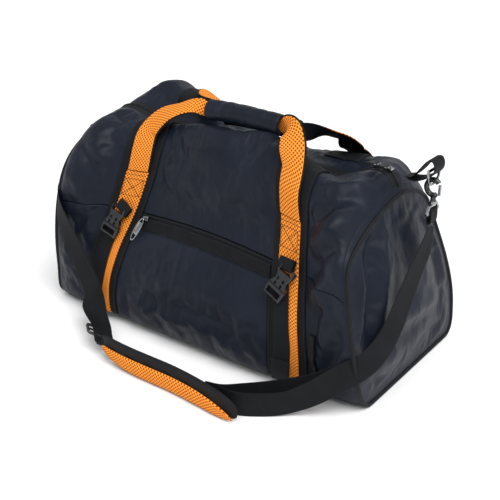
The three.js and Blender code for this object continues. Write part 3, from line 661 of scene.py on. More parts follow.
def steps(low, high, size, edge=0.0):
    count = max(2, round((high - low) / size))
    values = list(np.linspace(low, high, count + 1))
    if edge:
        values[1:1] = [low + edge]
        values[-1:-1] = [high - edge]
    return np.array(values)


def line_steps(low, high, size_mm, edge_mm=0.0):
    return steps(low, high, size_mm / LINE_SPAN, edge_mm / LINE_SPAN)


def laid(name, us, lines, height, thickness, material, sink, normals=None, shape=None):
    """A sheet on the cloth. Its rim sinks by sink, and shape(u, line) adds to its height."""
    u, line = np.meshgrid(us, lines, indexing="ij")
    lift = np.full(u.shape, float(height) + thickness)
    lift[[0, -1], :] -= sink
    lift[:, [0, -1]] -= sink
    if shape is not None:
        lift = lift + shape(u, line)
    top, cloth = on_cloth(u, line, lift, normals)
    bottom, _ = on_cloth(u, line, np.minimum(lift - 0.3, height), normals)
    return closed_sheet(name, *(grid.reshape(*u.shape, 3) for grid in (top, bottom, cloth)), material)


PANEL_LINES = {
    "base_panel": (-3.0, 3.0), "front_lower_panel": (3.0, 6.0), "front_upper_panel": (6.0, 10.0),
    "back_upper_panel": (11.0, 14.0), "back_lower_panel": (14.0, 17.0),
}


def grid_lines(low, high):
    turn = np.concatenate([GRID_LINE - LINES, GRID_LINE])
    inner = turn[(turn > low + 0.02) & (turn < high - 0.02)]
    return np.array([low + 0.004, low + 0.03, *inner, high - 0.03, high - 0.004])


def make_panels():
    for node, (low, high) in PANEL_LINES.items():
        sink = 0.0 if node == "base_panel" else 0.9
        piece = laid(f"{node}_cloth", GRID_U, grid_lines(low, high), -1.6, 1.6, NYLON, sink, SKIN_OUT)
        soft(piece, "nylon", node)


BAND_TOP = 2.2
MESH_TOP = 4.8
# Where the two pieces of a band start and end.
BAND_LINES = {"front": (3.06, 9.5), "back": (11.5, 16.94)}


def make_bands():
    for side, sign in SIDES.items():
        middle = sign * BAND_X
        us = steps(middle - BAND_WIDTH / 2, middle + BAND_WIDTH / 2, 4, 1.2)
        for where, ends in BAND_LINES.items():
            piece = laid(f"band_{side}_{where}_webbing", us, line_steps(*ends, 5, 1.5),
                         0.5, BAND_TOP - 0.5, WEBBING, 0.7)
            soft(piece, "webbing", f"band_{side}_{where}")
        us = steps(middle - STRAP_WIDTH / 2, middle + STRAP_WIDTH / 2, 3.5, 1.0)
        crown = lambda u, line, at=middle: 0.7 * np.cos(np.pi * (u - at) / (STRAP_WIDTH + 8))
        piece = laid(f"mesh_strap_{side}_cloth", us, line_steps(3.1, 7.1, 4, 1.2), BAND_TOP + 0.1,
                     MESH_TOP - BAND_TOP - 0.6, MESH, 0.9, shape=crown)
        soft(piece, "spacer_mesh", f"mesh_strap_{side}")


STITCH_PITCH, STITCH_LENGTH, STITCH_WIDTH = 3.2, 2.8, 1.25


def stitch_on_cloth(name, corners, height, material):
    """Stitches between corners given as (u, line), each a small bead pointed at both ends."""
    us, lines = np.array(corners, float).T
    t = np.linspace(0, len(corners) - 1, 40 * len(corners))
    k = np.arange(len(corners))
    path = on_cloth(np.interp(t, k, us), np.interp(t, k, lines), height)[0]
    length = so_far(path)
    starts = np.arange(STITCH_PITCH / 2, length[-1] - STITCH_PITCH / 2, STITCH_PITCH)
    ahead = unit(between(starts + 0.6, length, path) - between(starts - 0.6, length, path))
    side = unit(np.cross(ahead, [0.3, 0.2, 1.0]))
    points, faces = [], []
    for m, a, s, u in zip(between(starts, length, path), ahead, side, np.cross(side, ahead)):
        k = len(points)
        points += [m - a * STITCH_LENGTH / 2, m + a * STITCH_LENGTH / 2]
        for turn in range(6):
            angle = turn * np.pi / 3
            points.append(m + (s * np.cos(angle) + u * np.sin(angle)) * STITCH_WIDTH / 2)
            p, q = k + 2 + turn, k + 2 + (turn + 1) % 6
            faces += [(k, q, p), (k + 1, p, q)]
    finished(mesh_object(name, points, faces, material), "trim")


BOX_LOW, BOX_HIGH, JOIN_LINE = 6.4, 6.86, 6.98
POCKET_HALF = BAND_X - BAND_WIDTH / 2 - 2


def make_stitching():
    for side, sign in SIDES.items():
        middle = sign * BAND_X
        a, b = middle - STRAP_WIDTH / 2 + 2.5, middle + STRAP_WIDTH / 2 - 2.5
        box = [(a, BOX_LOW), (b, BOX_LOW), (b, BOX_HIGH), (a, BOX_HIGH), (a, BOX_LOW)]
        for name, corners, height, material in (
            ("box_stitch", box, 0.6, ORANGE_THREAD),
            ("cross_stitch", [box[0], box[2]], 0.9, ORANGE_THREAD),
            ("cross_back_stitch", [box[1], box[3]], 0.9, ORANGE_THREAD),
            ("join_stitch", [(a - 2, JOIN_LINE), (b + 2, JOIN_LINE)], 0.4, THREAD),
        ):
            stitch_on_cloth(f"{name}_{side}", corners, MESH_TOP + height, material)
        for edge in (-1, 1):
            u = middle + edge * (BAND_WIDTH / 2 - 2.2)
            seam = [(u, line) for line in (3.2, 6, 8, 9.3)]
            stitch_on_cloth(f"band_stitch_{side}_{edge}", seam, BAND_TOP, THREAD)
    for line in (5.66, 5.88):
        seam = [(-POCKET_HALF, line), (POCKET_HALF, line)]
        stitch_on_cloth(f"pocket_stitch_{line}", seam, 2.3, THREAD)


def ripples(height, pitch, slant=0):
    return lambda u, line: height * np.sin(2 * np.pi * (u / pitch + line * slant))


def make_pocket():
    span = (-POCKET_HALF, POCKET_HALF)
    inward = lambda u: np.clip((POCKET_HALF - np.abs(u)) / 30, 0, 1)
    puff = lambda u, line: 1.6 * np.clip(4.9 - line, 0, 1) * inward(u)
    piece = laid("pocket_panel_cloth", steps(*span, 5, 2), line_steps(3.08, 5.6, 5, 2),
                 0.2, 1.2, NYLON, 0.9, SKIN_OUT, puff)
    soft(piece, "nylon", "pocket_panel")
    strip = laid("pocket_zip_cover", steps(*span, 0.8, 1.0), line_steps(5.64, 5.9, 4, 1),
                 0.6, 1.6, WEBBING, 0.8, shape=ripples(0.35, 3.2))
    finished(strip, "webbing", "pocket_zip")
    coil = laid("pocket_zip_coil", steps(*span, 0.6), line_steps(5.925, 5.995, 1.3),
                0.4, 1.3, TRIM, 0.7, shape=ripples(0.45, 2.4))
    finished(coil, "trim")


def make_main_zip():
    span = (-PANEL_END, PANEL_END)
    for side, low, high in (("front", 9.98, 10.42), ("back", 10.58, 11.02)):
        tape = laid(f"main_zip_{side}_tape", steps(*span, 5), line_steps(low, high, 6, 2),
                    -1.2, 1.7, TRIM, 0.5, SKIN_OUT)
        soft(tape, "trim", f"main_zip_{side}")
    coil = laid("main_zip_coil", steps(*span, 0.6), np.linspace(10.4, 10.6, 6), -0.6, 2.2, TRIM,
                0.8, shape=ripples(0.5, 2.4, 2))
    finished(coil, "trim")


def make_tag():
    low = BAND_X + 36
    curl = lambda u, line: 3.2 * ((u - low) / 14) ** 2
    tag = laid("flag_tag_cloth", steps(low, low + 14, 2, 0.8), line_steps(3.75, 4.85, 4, 1),
               1.2, 1.2, TRIM, 0.4, shape=curl)
    soft(tag, "trim", "flag_tag")


# ---- straps that follow a path


def curve(points, t):
    """An open centripetal curve through points, t running evenly over them."""
    points = np.asarray(points, float)
    place = np.asarray(t, float) * (len(points) - 1)
    k = np.minimum(place.astype(int), len(points) - 2)
    ends = np.concatenate([[2 * points[0] - points[1]], points, [2 * points[-1] - points[-2]]])
    return catmull(ends[k], ends[k + 1], ends[k + 2], ends[k + 3], place - k)


def path_frame(stops, count):
    """Middle, side and facing of a strap along its stops, and its width and length so far."""
    t = np.linspace(0, 1, count)
    known = np.arange(len(stops))
    place = t * known[-1]
    at = curve([s[0] for s in stops], t)
    facing = unit(curve([s[1] for s in stops], t))
    width = np.interp(place, known, [s[2] for s in stops])
    tangent = unit(np.gradient(at, axis=0))
    side = unit(np.cross(tangent, facing))
    held = between(place, known, np.array([s[3] if len(s) > 3 else (0.0, 0.0, 0.0) for s in stops]))
    held *= np.sign(np.sum(held * side, 1, keepdims=True))
    share = np.clip(np.linalg.norm(held, axis=1, keepdims=True), 0, 1)
    side = unit(side * (1 - share) + held)
    return at, side, unit(np.cross(side, tangent)), width, so_far(at)


RIBBON_ACROSS = np.array([-0.5, -0.47, -0.36, -0.22, -0.08, 0.08, 0.22, 0.36, 0.47, 0.5])[:, None]


def ribbon(name, stops, thickness, count, material, lift=0.0, narrower=0.0, cup=0.0, crown=0.0):
    """A strap along its stops. cup raises both its edges and crown the middle of its face."""
    at, side, out, width, length = path_frame(stops, count)
    half = thickness / 2 * np.where(np.abs(RIBBON_ACROSS) > 0.49, 0.35, 1.0)
    edge = (2 * RIBBON_ACROSS) ** 2
    spread = at + side * (RIBBON_ACROSS * (width - narrower))[..., None]
    top = spread + out * (lift + half + cup * edge + crown * (1 - edge))[..., None]
    bottom = spread + out * (lift - half + cup * edge)[..., None]
    cloth = np.stack(np.broadcast_arrays(RIBBON_ACROSS * width, length, 0.0), -1)
    return closed_sheet(name, top, bottom, cloth, material)


def cloth_stop(u, line, height, width=STRAP_WIDTH):
    at = on_cloth([u], [line], height)[0][0]
    above = on_cloth([u], [line], height + 1)[0][0]
    beside = on_cloth([u - 6, u + 6], [line, line], height)[0]
    return at, above - at, width, unit(beside[1] - beside[0])


def stop(x, y, z, a, b, c, width=STRAP_WIDTH, *side):
    """A strap at (x, y, z), facing (a, b, c). Its side direction may be given too."""
    return np.array((x, y, z), float), unit(np.array((a, b, c), float)), width, *side


GRIPS = {"front": (24, -42, 348), "back": (28, -3, 331)}
GRIP_LENGTH = 132.0
GRIP_RADIUS = 16.5
CLIMBS = {"front": (7.12, 7.4, 7.7, 8, 8.3), "back": (12.88, 12.65, 12.4, 12.2)}
TURNS = {
    "front": (
        [(-130, -73, 313, -0.3, -0.9, 0.4, 38), (-112, -66, 331, -0.3, -0.75, 0.65, 36),
         (-89, -57, 343, -0.3, -0.5, 0.8, 31),
         (-64, -45, 351, -0.1, -0.7, 0.7, 25)],
        [(132, -79, 336, 0.2, -0.9, 0.4, 37), (122, -66, 352, 0.1, -0.9, 0.3, 33),
         (106, -49, 354, 0, -1, 0.1, 26)],
    ),
    "back": (
        [(-112, 42, 328, 0, 0.8, 0.6, 37), (-82, 18, 333, -0.1, 0.9, 0.5, 32),
         (-56, 3, 333, 0, 1, 0.2, 26)],
        [(145, 52, 311, 0.1, 0.7, 0.7, 37), (132, 30, 324, 0.1, 0.7, 0.6, 33),
         (114, 6, 331, 0, 1, 0.3, 26)],
    ),
}


# How far a grip rises in its middle, and how the strap lies in it.
GRIP_ARCH = 3
STRAP_BEHIND, WIDTH_IN_GRIP = 2.1, 22


def handle_stops(which):
    gx, gy, gz = GRIPS[which]
    facing = -1 if which == "front" else 1
    end = GRIP_LENGTH / 2
    gy -= facing * STRAP_BEHIND
    inside = [stop(gx + x, gy, gz + GRIP_ARCH * (1 - (x / end) ** 2), 0, facing, 0, WIDTH_IN_GRIP)
              for x in (-end, -end / 2, 0, end / 2, end)]
    climb = CLIMBS[which]
    heights = np.linspace(3.2, 7.4, len(climb))
    legs = [[cloth_stop(sign * BAND_X, line, float(h)) for line, h in zip(climb, heights)]
            + [stop(*row) for row in turn] for sign, turn in zip(SIDES.values(), TURNS[which])]
    whole = legs[0] + inside + legs[1][::-1]
    return whole[::-1] if which == "back" else whole


# Where each handle's feet leave the bag, and a point higher up each of its legs.
FOOT_BEND = {
    "front": ((0.0019, -0.1008, 0.2440), (0.0025, -0.0871, 0.2910)),
    "back": ((0.0050, 0.0972, 0.2878), (0.0068, 0.0557, 0.3148)),
}


def make_handles():
    for which in ("front", "back"):
        body = f"{which}_handle"
        stops = handle_stops(which)
        webbing = ribbon(f"{which}_handle_strap", stops, 1.5, 200, WEBBING, narrower=-5)
        mesh = ribbon(f"{which}_handle_facing", stops, 1.8, 200, MESH, lift=1.9, crown=0.8)
        for layer, slot, node in ((webbing, "webbing", "webbing"), (mesh, "spacer_mesh", "mesh")):
            subdivided(layer)
            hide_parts(f"{which}_handle_{node}")
            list(FOOT_BEND[which])
            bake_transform(layer)
        finished(make_grip(which), "nylon", f"{which}_grip", body=body)


# Wrinkles round a grip: depth, place along it, slant and width.
GRIP_WRINKLES = [(0.9, -38, 8, 4), (0.8, -12, -7, 5), (0.9, 18, 9, 4), (0.7, 41, -6, 4)]
GRIP_SEAM_AT, GRIP_SEAM_DEPTH, GRIP_FLATNESS = 4.4, 1.5, 0.94


def make_grip(which):
    """A padded sleeve wrapped round both straps, its long edge closed underneath."""
    gx, gy, gz = GRIPS[which]
    end = GRIP_LENGTH / 2
    inset, narrow = np.array([(7, 5.2), (1.5, 7.4), (0, 12.5)]).T
    along = np.concatenate([inset - end, np.linspace(-end + 0.6, end - 0.6, 60), (end - inset)[::-1]])
    radius = np.concatenate([narrow, np.full(60, GRIP_RADIUS - 0.7), narrow[::-1]])
    x, angle = np.meshgrid(along, np.linspace(0, 2 * np.pi, 48, endpoint=False), indexing="ij")
    wrinkle = sum(depth * np.exp(-(((x - at - slant * np.cos(angle)) / wide) ** 2))
                  for depth, at, slant, wide in GRIP_WRINKLES)
    seam = GRIP_SEAM_DEPTH * np.exp(-(((angle - GRIP_SEAM_AT) / 0.12) ** 2))
    free = np.clip((end - np.abs(x)) / 10, 0, 1)
    r = radius[:, None] - free * (wrinkle + seam - 0.5 * np.sin(3 * angle + x * 0.05))
    arch = GRIP_ARCH * (1 - (x / end) ** 2)
    y, z = gy + GRIP_FLATNESS * r * np.cos(angle), gz + r * np.sin(angle) + arch
    points = np.stack([gx + x, y, z], -1)
    cloth = np.stack([x, angle * GRIP_RADIUS, 0 * x], -1)
    index = np.arange(x.size).reshape(x.shape)
    faces = [*grid_faces(*x.shape, True)[:, ::-1], index[0], index[-1][::-1]]
    grip = mesh_object(f"{which}_grip_sleeve", points, faces, NYLON, cloth)
    subdivided(grip)
    return grip


FLOOR_EDGE = STRAP_WIDTH / 2 + 0.4
LYING = unit(np.array([0.78, 0.56, -0.15]))
STRAP_TWIST = unit(np.array([0.50, 0.68, -0.50]))
SHOULDER_STRAPS = {
    "shoulder_strap_left": [
        (-314, 0, 173, -1, 0, 0, 18), (-315, -6, 160, -1, 0, 0, 24), (-316, -38, 154, -1, 0, 0, 34),
        (-315, -72, 166, -1, -0.1, 0), (-305, -108, 180, -0.85, -0.5, 0),
        (-281, -142, 174, -0.6, -0.8, 0.1), (-247, -158, 138, -0.2, -1, 0.1),
        (-212, -166, 97, 0, -1, 0.1), (-178, -178, 60, 0.1, -1, 0.2),
        (-158, -196, 39, -0.2, -0.85, 0.5, STRAP_WIDTH, LYING),
        (-119, -221, 29, -0.4, -0.7, 0.6, 34, STRAP_TWIST),
        (-98, -240, 16, -0.5, -0.7, 0.5, 28, STRAP_TWIST), (-82, -246, 19, -0.2, -1, 0, 32),
        (-64, -250, FLOOR_EDGE + 1, 0, -1, 0, 34),
    ],
    "shoulder_strap_right": [
        (128, -247, FLOOR_EDGE, 0.1, -1, 0), (158, -247, FLOOR_EDGE, 0.3, -1, 0),
        (187, -231, FLOOR_EDGE, 0.6, -0.8, 0), (217, -211, 24, 0.7, -0.7, 0),
        (248, -195, 42, 0.6, -0.8, 0.1), (278, -178, 67, 0.6, -0.8, 0.2),
        (308, -150, 92, 0.9, -0.45, 0.2), (317, -115, 120, 1, -0.3, 0.2),
        (315, -78, 152, 1, -0.25, 0.1), (312, -42, 182, 1, -0.2, 0), (311, -14, 207, 1, -0.1, 0, 36),
        (310, -4, 224, 1, 0, 0, 27), (310, -1, 235, 1, 0, 0, 18),
    ],
    "shoulder_strap_tail": [
        (108, -250, FLOOR_EDGE, 0.3, -1, 0), (132, -243, FLOOR_EDGE, 0.4, -0.9, 0),
        (156, -224, FLOOR_EDGE + 1, 0.5, -0.9, 0), (184, -204, 24, 0.5, -0.9, 0),
        (222, -188, 36, 0.5, -0.9, 0.1), (254, -180, 52, 0.6, -0.8, 0.2),
        (284, -168, 72, 0.6, -0.8, 0.2),
    ],
}


LOWER_WIDTH, PATCH_WIDTH = 27, 30
# The strap under each buckle: line, distance from the band's middle, and height.
LOWER_STRAP = [
    (5.66, -6, 9.4), (5.52, -6, 9.0), (5.2, -6.5, 7.6), (4.8, -6.5, 6.8),
    (4.3, -5.5, 6.6), (3.9, -7, 6.6), (3.5, -8, 6.6), (3.2, -9, 6.6),
]


def make_straps():
    for node, rows in SHOULDER_STRAPS.items():
        strap = ribbon(f"{node}_webbing", [stop(*row) for row in rows], 1.5, 120, WEBBING, cup=0.7)
        soft(strap, "webbing", node)
    for side, sign in SIDES.items():
        stops = [cloth_stop(sign * BAND_X + across, line, height, LOWER_WIDTH)
                 for line, across, height in LOWER_STRAP]
        strap = ribbon(f"lower_strap_{side}_webbing", stops, 1.5, 80, WEBBING, cup=-0.3)
        soft(strap, "webbing", f"lower_strap_{side}")
        stops = [(at, out, PATCH_WIDTH, beside) for at, out, _, beside in stops[-3:]]
        soft(ribbon(f"lower_strap_{side}_patch", stops, 1.2, 24, TRIM, lift=1.6), "webbing")


# ---- ends, piping and pad


TAB_FEET = {"left": (-284, 0, 290), "right": (270, 0, 300)}
TAB_DROOP = {"left": math.radians(75), "right": 0.0}
# A tab's loop seen from the side: distance out, height and width.
TAB_LOOP = [
    (0, 0.6, 18), (10, -0.6, 27), (20, 0.6, 31), (34, 7, 32), (44, 15, 32), (46.2, 25, 32),
    (42, 33.5, 32), (35, 33.5, 32), (27, 25, 32), (19, 14, 31), (10, 5, 27), (0, 2.4, 18),
]


def make_tabs():
    """Loops of webbing at the ends, each sewn in at its foot and holding its ring's bar."""
    for side, sign in SIDES.items():
        c, s = math.cos(TAB_DROOP[side]), math.sin(TAB_DROOP[side])
        foot = np.array(TAB_FEET[side])
        stops = []
        for k, (x, z, width) in enumerate(TAB_LOOP):
            before, after = TAB_LOOP[max(k - 1, 0)], TAB_LOOP[min(k + 1, len(TAB_LOOP) - 1)]
            a, b = after[1] - before[1], before[0] - after[0]
            at = foot + (sign * (x * c + z * s), 0, z * c - x * s)
            stops.append(stop(*at, sign * (a * c + b * s), 0, b * c - a * s, width))
        tab = ribbon(f"end_tab_{side}_webbing", stops, 1.7, 90, WEBBING, lift=-0.9)
        soft(tab, "webbing", f"end_tab_{side}")


def standing(u, line, height, roll, points):
    """Points drawn flat, in mm, stood on the skin with their Y up the girth and their Z out."""
    _, around, out = (axis[0] for axis in skin_axes(u, line))
    c, s = math.cos(math.radians(roll)), math.sin(math.radians(roll))
    x, y, z = np.moveaxis(np.asarray(points, float), -1, 0)[..., None]
    turned = (c * x - s * y) * np.cross(around, out) + (s * x + c * y) * around
    return skin(u, line)[0] + out * height + turned + z * out


def webbing_loop(name, centre, reach, width, place):
    """A sewn loop of webbing. Its rim runs in the second and third axes that place takes."""
    turn = np.linspace(0, 2 * np.pi, 49)
    across = np.array([-0.5, -0.46, -0.3, 0.0, 0.3, 0.46, 0.5])[:, None] * width
    rim = np.stack([squared(np.cos(turn), 0.62), squared(np.sin(turn), 0.8)], 1)
    layers = []
    for inset in (0.0, 1.4):
        grid = np.empty((len(across), len(turn), 3))
        grid[..., 0] = centre[0] + across
        grid[..., 1:] = rim * (np.array(reach) - inset) + np.array(centre[1:])
        layers.append(place(grid))
    cloth = np.stack(np.broadcast_arrays(across, turn * sum(reach) / 2, 0.0), -1)
    return closed_sheet(name, *layers, cloth, WEBBING)


STRAP_END_AT = {"left": (-314.2, 0, 191.0), "right": (310.0, 0, 251.8)}


# The buckles' line, height over the skin and roll.
BUCKLE_AT = (5.68, 10.7, -17)


def make_loops():
    for side, sign in SIDES.items():
        on_buckle = lambda points, u=sign * BAND_X - 4: standing(u, *BUCKLE_AT, points)
        loop = webbing_loop(f"buckle_loop_{side}_webbing", (0, 27.3, 4), (9, 3.5), 26, on_buckle)
        finished(loop, "webbing", f"buckle_loop_{side}")
        upright = lambda points, at=STRAP_END_AT[side]: np.array(at) + points[..., [2, 0, 1]]
        fold = webbing_loop(f"strap_end_{side}_webbing", (0, 0, 0), (11, 4), 19, upright)
        finished(fold, "webbing", f"strap_end_{side}")


HOOK_RADIUS, STEM_RADIUS = 3.8, 3.9
HOOK_AT = {"left": (-313.19, 0, 228.41), "right": (309.0, 0, 289.2)}


def make_hooks():
    """The snap hooks: a round-sectioned C open on its outer side, and the stem below it."""
    turn = np.radians(np.linspace(40, 298, 60))
    claw = np.stack([9.9 * np.cos(turn), 0 * turn, 3 + 11.0 * np.sin(turn)], 1)
    stem = np.array([(1, 0, -9.0), (1, 0, -11.0), (1, 0, -13.5), (1, 0, -15.9)])
    for side, sign in SIDES.items():
        claw_at, stem_at = (np.array(HOOK_AT[side]) + path * (sign, 1, 1) for path in (claw, stem))
        body = tube(f"snap_hook_{side}_body", claw_at, HOOK_RADIUS, PLASTIC, closed=False)
        finished(body, "black_plastic", f"snap_hook_{side}", body=f"hook_{side}")
        barrel = tube(f"snap_hook_{side}_stem", stem_at, STEM_RADIUS, PLASTIC, closed=False)
        finished(barrel, "black_plastic", body=f"hook_{side}")


ADJUSTER_AT = np.array([-119, -226.5, 27])
ADJUSTER_HALF = (20, 9)


def make_adjuster():
    """The strap's slider: a rounded frame and its middle bar, lying across behind the strap."""
    along = unit(np.array([0.75, -0.58, -0.31]))
    turn = np.linspace(0, 2 * np.pi, 72, endpoint=False)[:, None]
    x, y = ADJUSTER_HALF[0] * squared(np.cos(turn), 0.3), ADJUSTER_HALF[1] * squared(np.sin(turn), 0.3)
    rim = tube("adjuster_frame", ADJUSTER_AT + x * STRAP_TWIST + y * along, 2.3, PLASTIC)
    finished(rim, "black_plastic", "strap_adjuster")
    ends = np.linspace(-ADJUSTER_HALF[0], ADJUSTER_HALF[0], 9)[:, None]
    bar = tube("adjuster_bar", ADJUSTER_AT + ends * STRAP_TWIST, 1.6, PLASTIC, closed=False)
    finished(bar, "black_plastic")


def tube(name, path, radius, material, sides=12, closed=True):
    ahead = np.roll(path, -1, 0) - np.roll(path, 1, 0)
    if not closed:
        ahead[0], ahead[-1] = path[1] - path[0], path[-1] - path[-2]
    tangent = unit(ahead)
    guide = unit(np.cross(tangent, [1.0, 0.001, 0.002]))
    turn = np.linspace(0, 2 * np.pi, sides, endpoint=False)[:, None]
    ring = guide * np.cos(turn)[..., None] + np.cross(tangent, guide) * np.sin(turn)[..., None]
    cloth = np.stack(np.broadcast_arrays(turn * radius, so_far(path), 0.0), -1)
    faces = [*grid_faces(sides, len(path), closed, True)[:, [0, 3, 2, 1]]]
    if not closed:
        index = np.arange(sides * len(path)).reshape(sides, -1)
        faces += [index[::-1, 0], index[:, -1]]
    return mesh_object(name, path + ring * radius, faces, material, cloth)


def piping_path(sign, count):
    """The middle of the piping round one end of the bag."""
    line = np.linspace(0, LINES, count, endpoint=False)
    u = np.full(count, sign * (HALF_LENGTH - PIPING_RADIUS))
    path = skin(u, line) - skin_axes(u, line)[2]
    path[:, 2] = np.maximum(path[:, 2], PIPING_RADIUS + 0.05)
    for _ in range(3):
        path = (path + (np.roll(path, 1, 0) + np.roll(path, -1, 0)) / 2) / 2
    path[:, 2] = np.maximum(path[:, 2], PIPING_RADIUS + 0.05)
    return path


# The pocket pull's station, line, height over the skin and roll.
PULL_AT = (-136, 5.9, 10.2, -8)


def make_pull():
    """The pocket's pull: an oval loop of wire with a domed plate across its middle."""
    turn = np.linspace(0, 2 * np.pi, 64, endpoint=False)
    oval = np.stack([5.0 * np.sin(turn), -21 - 20 * np.cos(turn), np.full(64, 0.9)], 1)
    wire = tube("pocket_pull_wire", standing(*PULL_AT, oval), 1.0, METAL, sides=8)
    finished(wire, "plated_steel", "pocket_pull", body="front_pull")
    x, y = square(-1, 1, 9, 17)
    across, along = x * 4.4 * np.sqrt(1 - (0.62 * y) ** 2), -19 + 11 * y
    dome = 1.5 + 0.9 * (1 - x**2) * (1 - y**4)
    top, under = (np.stack([across, along, height], -1) for height in (dome, np.full(x.shape, 0.4)))
    plate = closed_sheet(
        "pocket_pull_plate", standing(*PULL_AT, top), standing(*PULL_AT, under), top, METAL)
    finished(plate, "plated_steel", body="front_pull")


def make_piping():
    """The piping cords, and the narrow seam that joins each end of the skin to its cord."""
    line = np.append(np.linspace(0, LINES, 240, endpoint=False), LINES) + 0.02
    for side, sign in SIDES.items():
        cord = tube(f"piping_{side}_cord", piping_path(sign, 260), PIPING_RADIUS, TRIM)
        finished(cord, "trim", f"piping_{side}")
        us = sign * np.linspace(PANEL_END - 1.5, HALF_LENGTH - PIPING_RADIUS, 6)
        u, turn = np.meshgrid(us[::sign], line, indexing="ij")
        layers = []
        for depth, lowest in ((0.5, 0.2), (2.0, 0.6)):
            layer = (skin(u, turn) - skin_axes(u, turn)[2] * depth).reshape(*u.shape, 3)
            layer[..., 2] = np.maximum(layer[..., 2], lowest)
            layers.append(layer)
        cloth = np.stack([u, turn * LINE_SPAN, 0 * u], -1)
        finished(closed_sheet(f"end_seam_{side}", *layers, cloth, NYLON), "nylon")


# Creases of the end panels: height and half width in mm, and the path as (y, z).
END_CREASES = {
    "right": [
        (-7.0, 12, [(-84, 248), (-98, 230), (-109, 199), (-123, 146), (-148, 100)]),
        (6.0, 12, [(-58, 246), (-74, 214), (-86, 178), (-102, 138), (-128, 100)]),
        (5.0, 13, [(-122, 228), (-137, 190), (-144, 150), (-152, 108)]),
        (-4.4, 10, [(-135, 86), (-73, 88), (-8, 82), (70, 72)]),
        (4.6, 12, [(-118, 112), (-60, 108), (10, 104), (80, 95)]),
        (3.4, 10, [(-150, 58), (-126, 68), (-40, 52)]), (4.4, 18, [(-6, 235), (14, 180), (34, 120)]),
        (-4.0, 11, [(-30, 240), (-22, 200), (-20, 150), (-40, 112)]),
        (-3.6, 12, [(34, 240), (58, 176), (86, 112)]),
        (3.0, 12, [(50, 228), (80, 170), (104, 100)]),
    ],
    "left": [
        (4.5, 13, [(0, 250), (-50, 170), (-90, 80)]), (-3.6, 12, [(10, 250), (0, 150), (-10, 60)]),
        (4.0, 13, [(20, 250), (60, 160), (90, 90)]), (3.0, 12, [(-110, 40), (-20, 60), (90, 50)]),
    ],
}
END_BULGE = {"left": 9.0, "right": 6.0}
END_CAP, END_FOLD_SHARE, END_THICKNESS = 12, 1.1, 1.5
END_SPARE, END_PRESSURE = 0.03, 0.6


def make_ends():
    """The end panels: discs stretched to the piping, bulged, creased and relaxed as cloth."""
    s, t = square(-1, 1, 47)
    dx, dy = s * np.sqrt(1 - t * t / 2), t * np.sqrt(1 - s * s / 2)
    radius, angle = np.hypot(dx, dy), np.arctan2(dy, dx)
    free = np.clip((1 - radius) * 6, 0, 1).reshape(-1, 1)
    for side, sign in SIDES.items():
        rim = piping_path(sign, 400)[:, 1:]
        middle = (rim.min(0) + rim.max(0)) / 2
        spread = rim - middle
        at = np.arctan2(spread[:, 1], spread[:, 0])
        order = np.argsort(at)
        reach = np.interp(angle, at[order], np.hypot(*spread[order].T), period=2 * np.pi)
        y = (middle[0] + radius * reach * np.cos(angle)).ravel()
        z = (middle[1] + radius * reach * np.sin(angle)).ravel()
        x = sign * (HALF_LENGTH - PIPING_RADIUS) + lean(np.full(y.size, sign * HALF_LENGTH), z)
        plain = np.stack([x, y, z], 1)
        out = np.array([sign, 0, 0])
        fold = crease_height(plain[:, 1:], END_CREASES[side])[:, None]
        bulge = END_BULGE[side] * (1 - radius**2).reshape(-1, 1)
        shaped = plain + out * (fold * free + bulge)
        faces = grid_faces(*s.shape, False)[:, ::sign]
        shaped = simulate(shaped, faces, 1 - free.ravel(), END_SPARE, END_PRESSURE)
        moved = capped(shaped - plain, END_CAP) * free**0.5
        outer = plain + moved + out * (END_FOLD_SHARE * fold * free)
        cloth = np.stack([y, z, 0 * y], -1)
        inner = outer - out * END_THICKNESS
        layers = [grid.reshape(*s.shape, 3)[::sign] for grid in (outer, inner, cloth)]
        soft(closed_sheet(f"end_panel_{side}_cloth", *layers, NYLON), "nylon", f"end_panel_{side}")


PAD_MIDDLE = (34.0, -256.0)
PAD_LENGTH, PAD_HEIGHT = 262.0, 44.0
PAD_CORNER = 0.42


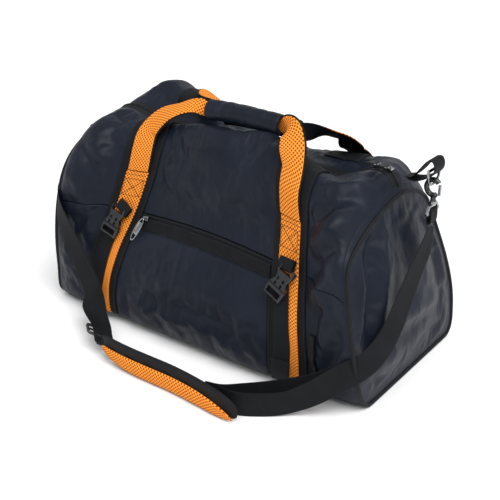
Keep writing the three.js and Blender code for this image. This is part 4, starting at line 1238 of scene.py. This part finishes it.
def pad_layer(name, length, height, front, thickness, material, puff, taper):
    """A pad on its long edge, crowned by puff. Its ends narrow by taper, up and then down."""
    s, t = square(-1, 1, 61, 21)
    dx, dy = s * np.sqrt(1 - PAD_CORNER * t**4 * 0.25), t * np.sqrt(1 - PAD_CORNER * s**12)
    narrow = taper * np.abs(s) ** 4
    along = dx * length / PAD_LENGTH
    x = PAD_MIDDLE[0] + dx * length / 2 + np.where(along > 0, 8 * along**2, 0)
    y = PAD_MIDDLE[1] - front + np.where(along < 0, 10 * along**4, -9 * along**2 * (3 - 2 * along))
    z = PAD_HEIGHT / 2 + 0.4 + (dy * (1 - narrow) - np.sign(s) * narrow) * height / 2
    swell = (1 - np.maximum(np.abs(s), np.abs(t)) ** 6) ** 0.5
    crown = (puff - 0.5 * np.sin(dx * 23)) * swell * (1 - t * t)
    top = np.stack([x, y - thickness / 2 * (1 + swell) - crown, z], -1)
    bottom = np.stack([x, y - thickness / 2 * (1 - swell), z], -1)
    cloth = np.stack([dx * length / 2, dy * height / 2, 0 * dx], -1)
    return closed_sheet(name, top, bottom, cloth, material)


def make_pad():
    backing = pad_layer("pad_backing_cloth", PAD_LENGTH, PAD_HEIGHT, -6.0, 6.0, TRIM, 0.6, 0.22)
    subdivided(backing)
    finished(backing, "trim", "pad_backing")
    facing = pad_layer("pad_facing_cloth", PAD_LENGTH - 10, PAD_HEIGHT - 19, 0.2, 4.4, MESH, 1.8, 0.7)
    facing.location.z = -7.4 * MM
    subdivided(facing)
    finished(facing, "spacer_mesh", "pad_mesh")


make_panels()
make_bands()
make_pocket()
make_main_zip()
make_tag()
make_stitching()
make_handles()
make_straps()
make_loops()
make_hooks()
make_adjuster()
make_pull()
make_tabs()
make_piping()
make_ends()
make_pad()

CAD_MATERIALS = {
    "nylon": NYLON, "webbing": WEBBING, "spacer_mesh": MESH, "trim": TRIM,
    "black_plastic": PLASTIC, "plated_steel": METAL,
}


def dress_cad_nodes():
    for entry in frame["record"]["subparts"]:
        node = NODES[entry["node"]]
        node.data.materials.clear()
        node.data.materials.append(CAD_MATERIALS[entry["material_slot"]])
        if entry["material_slot"] in ("black_plastic", "plated_steel"):
            bevel = node.modifiers.new("edges", "BEVEL")
            bevel.width = 0.0004
            bevel.segments = 2
            bevel.limit_method = "ANGLE"
            bevel.angle_limit = math.radians(35)


dress_cad_nodes()
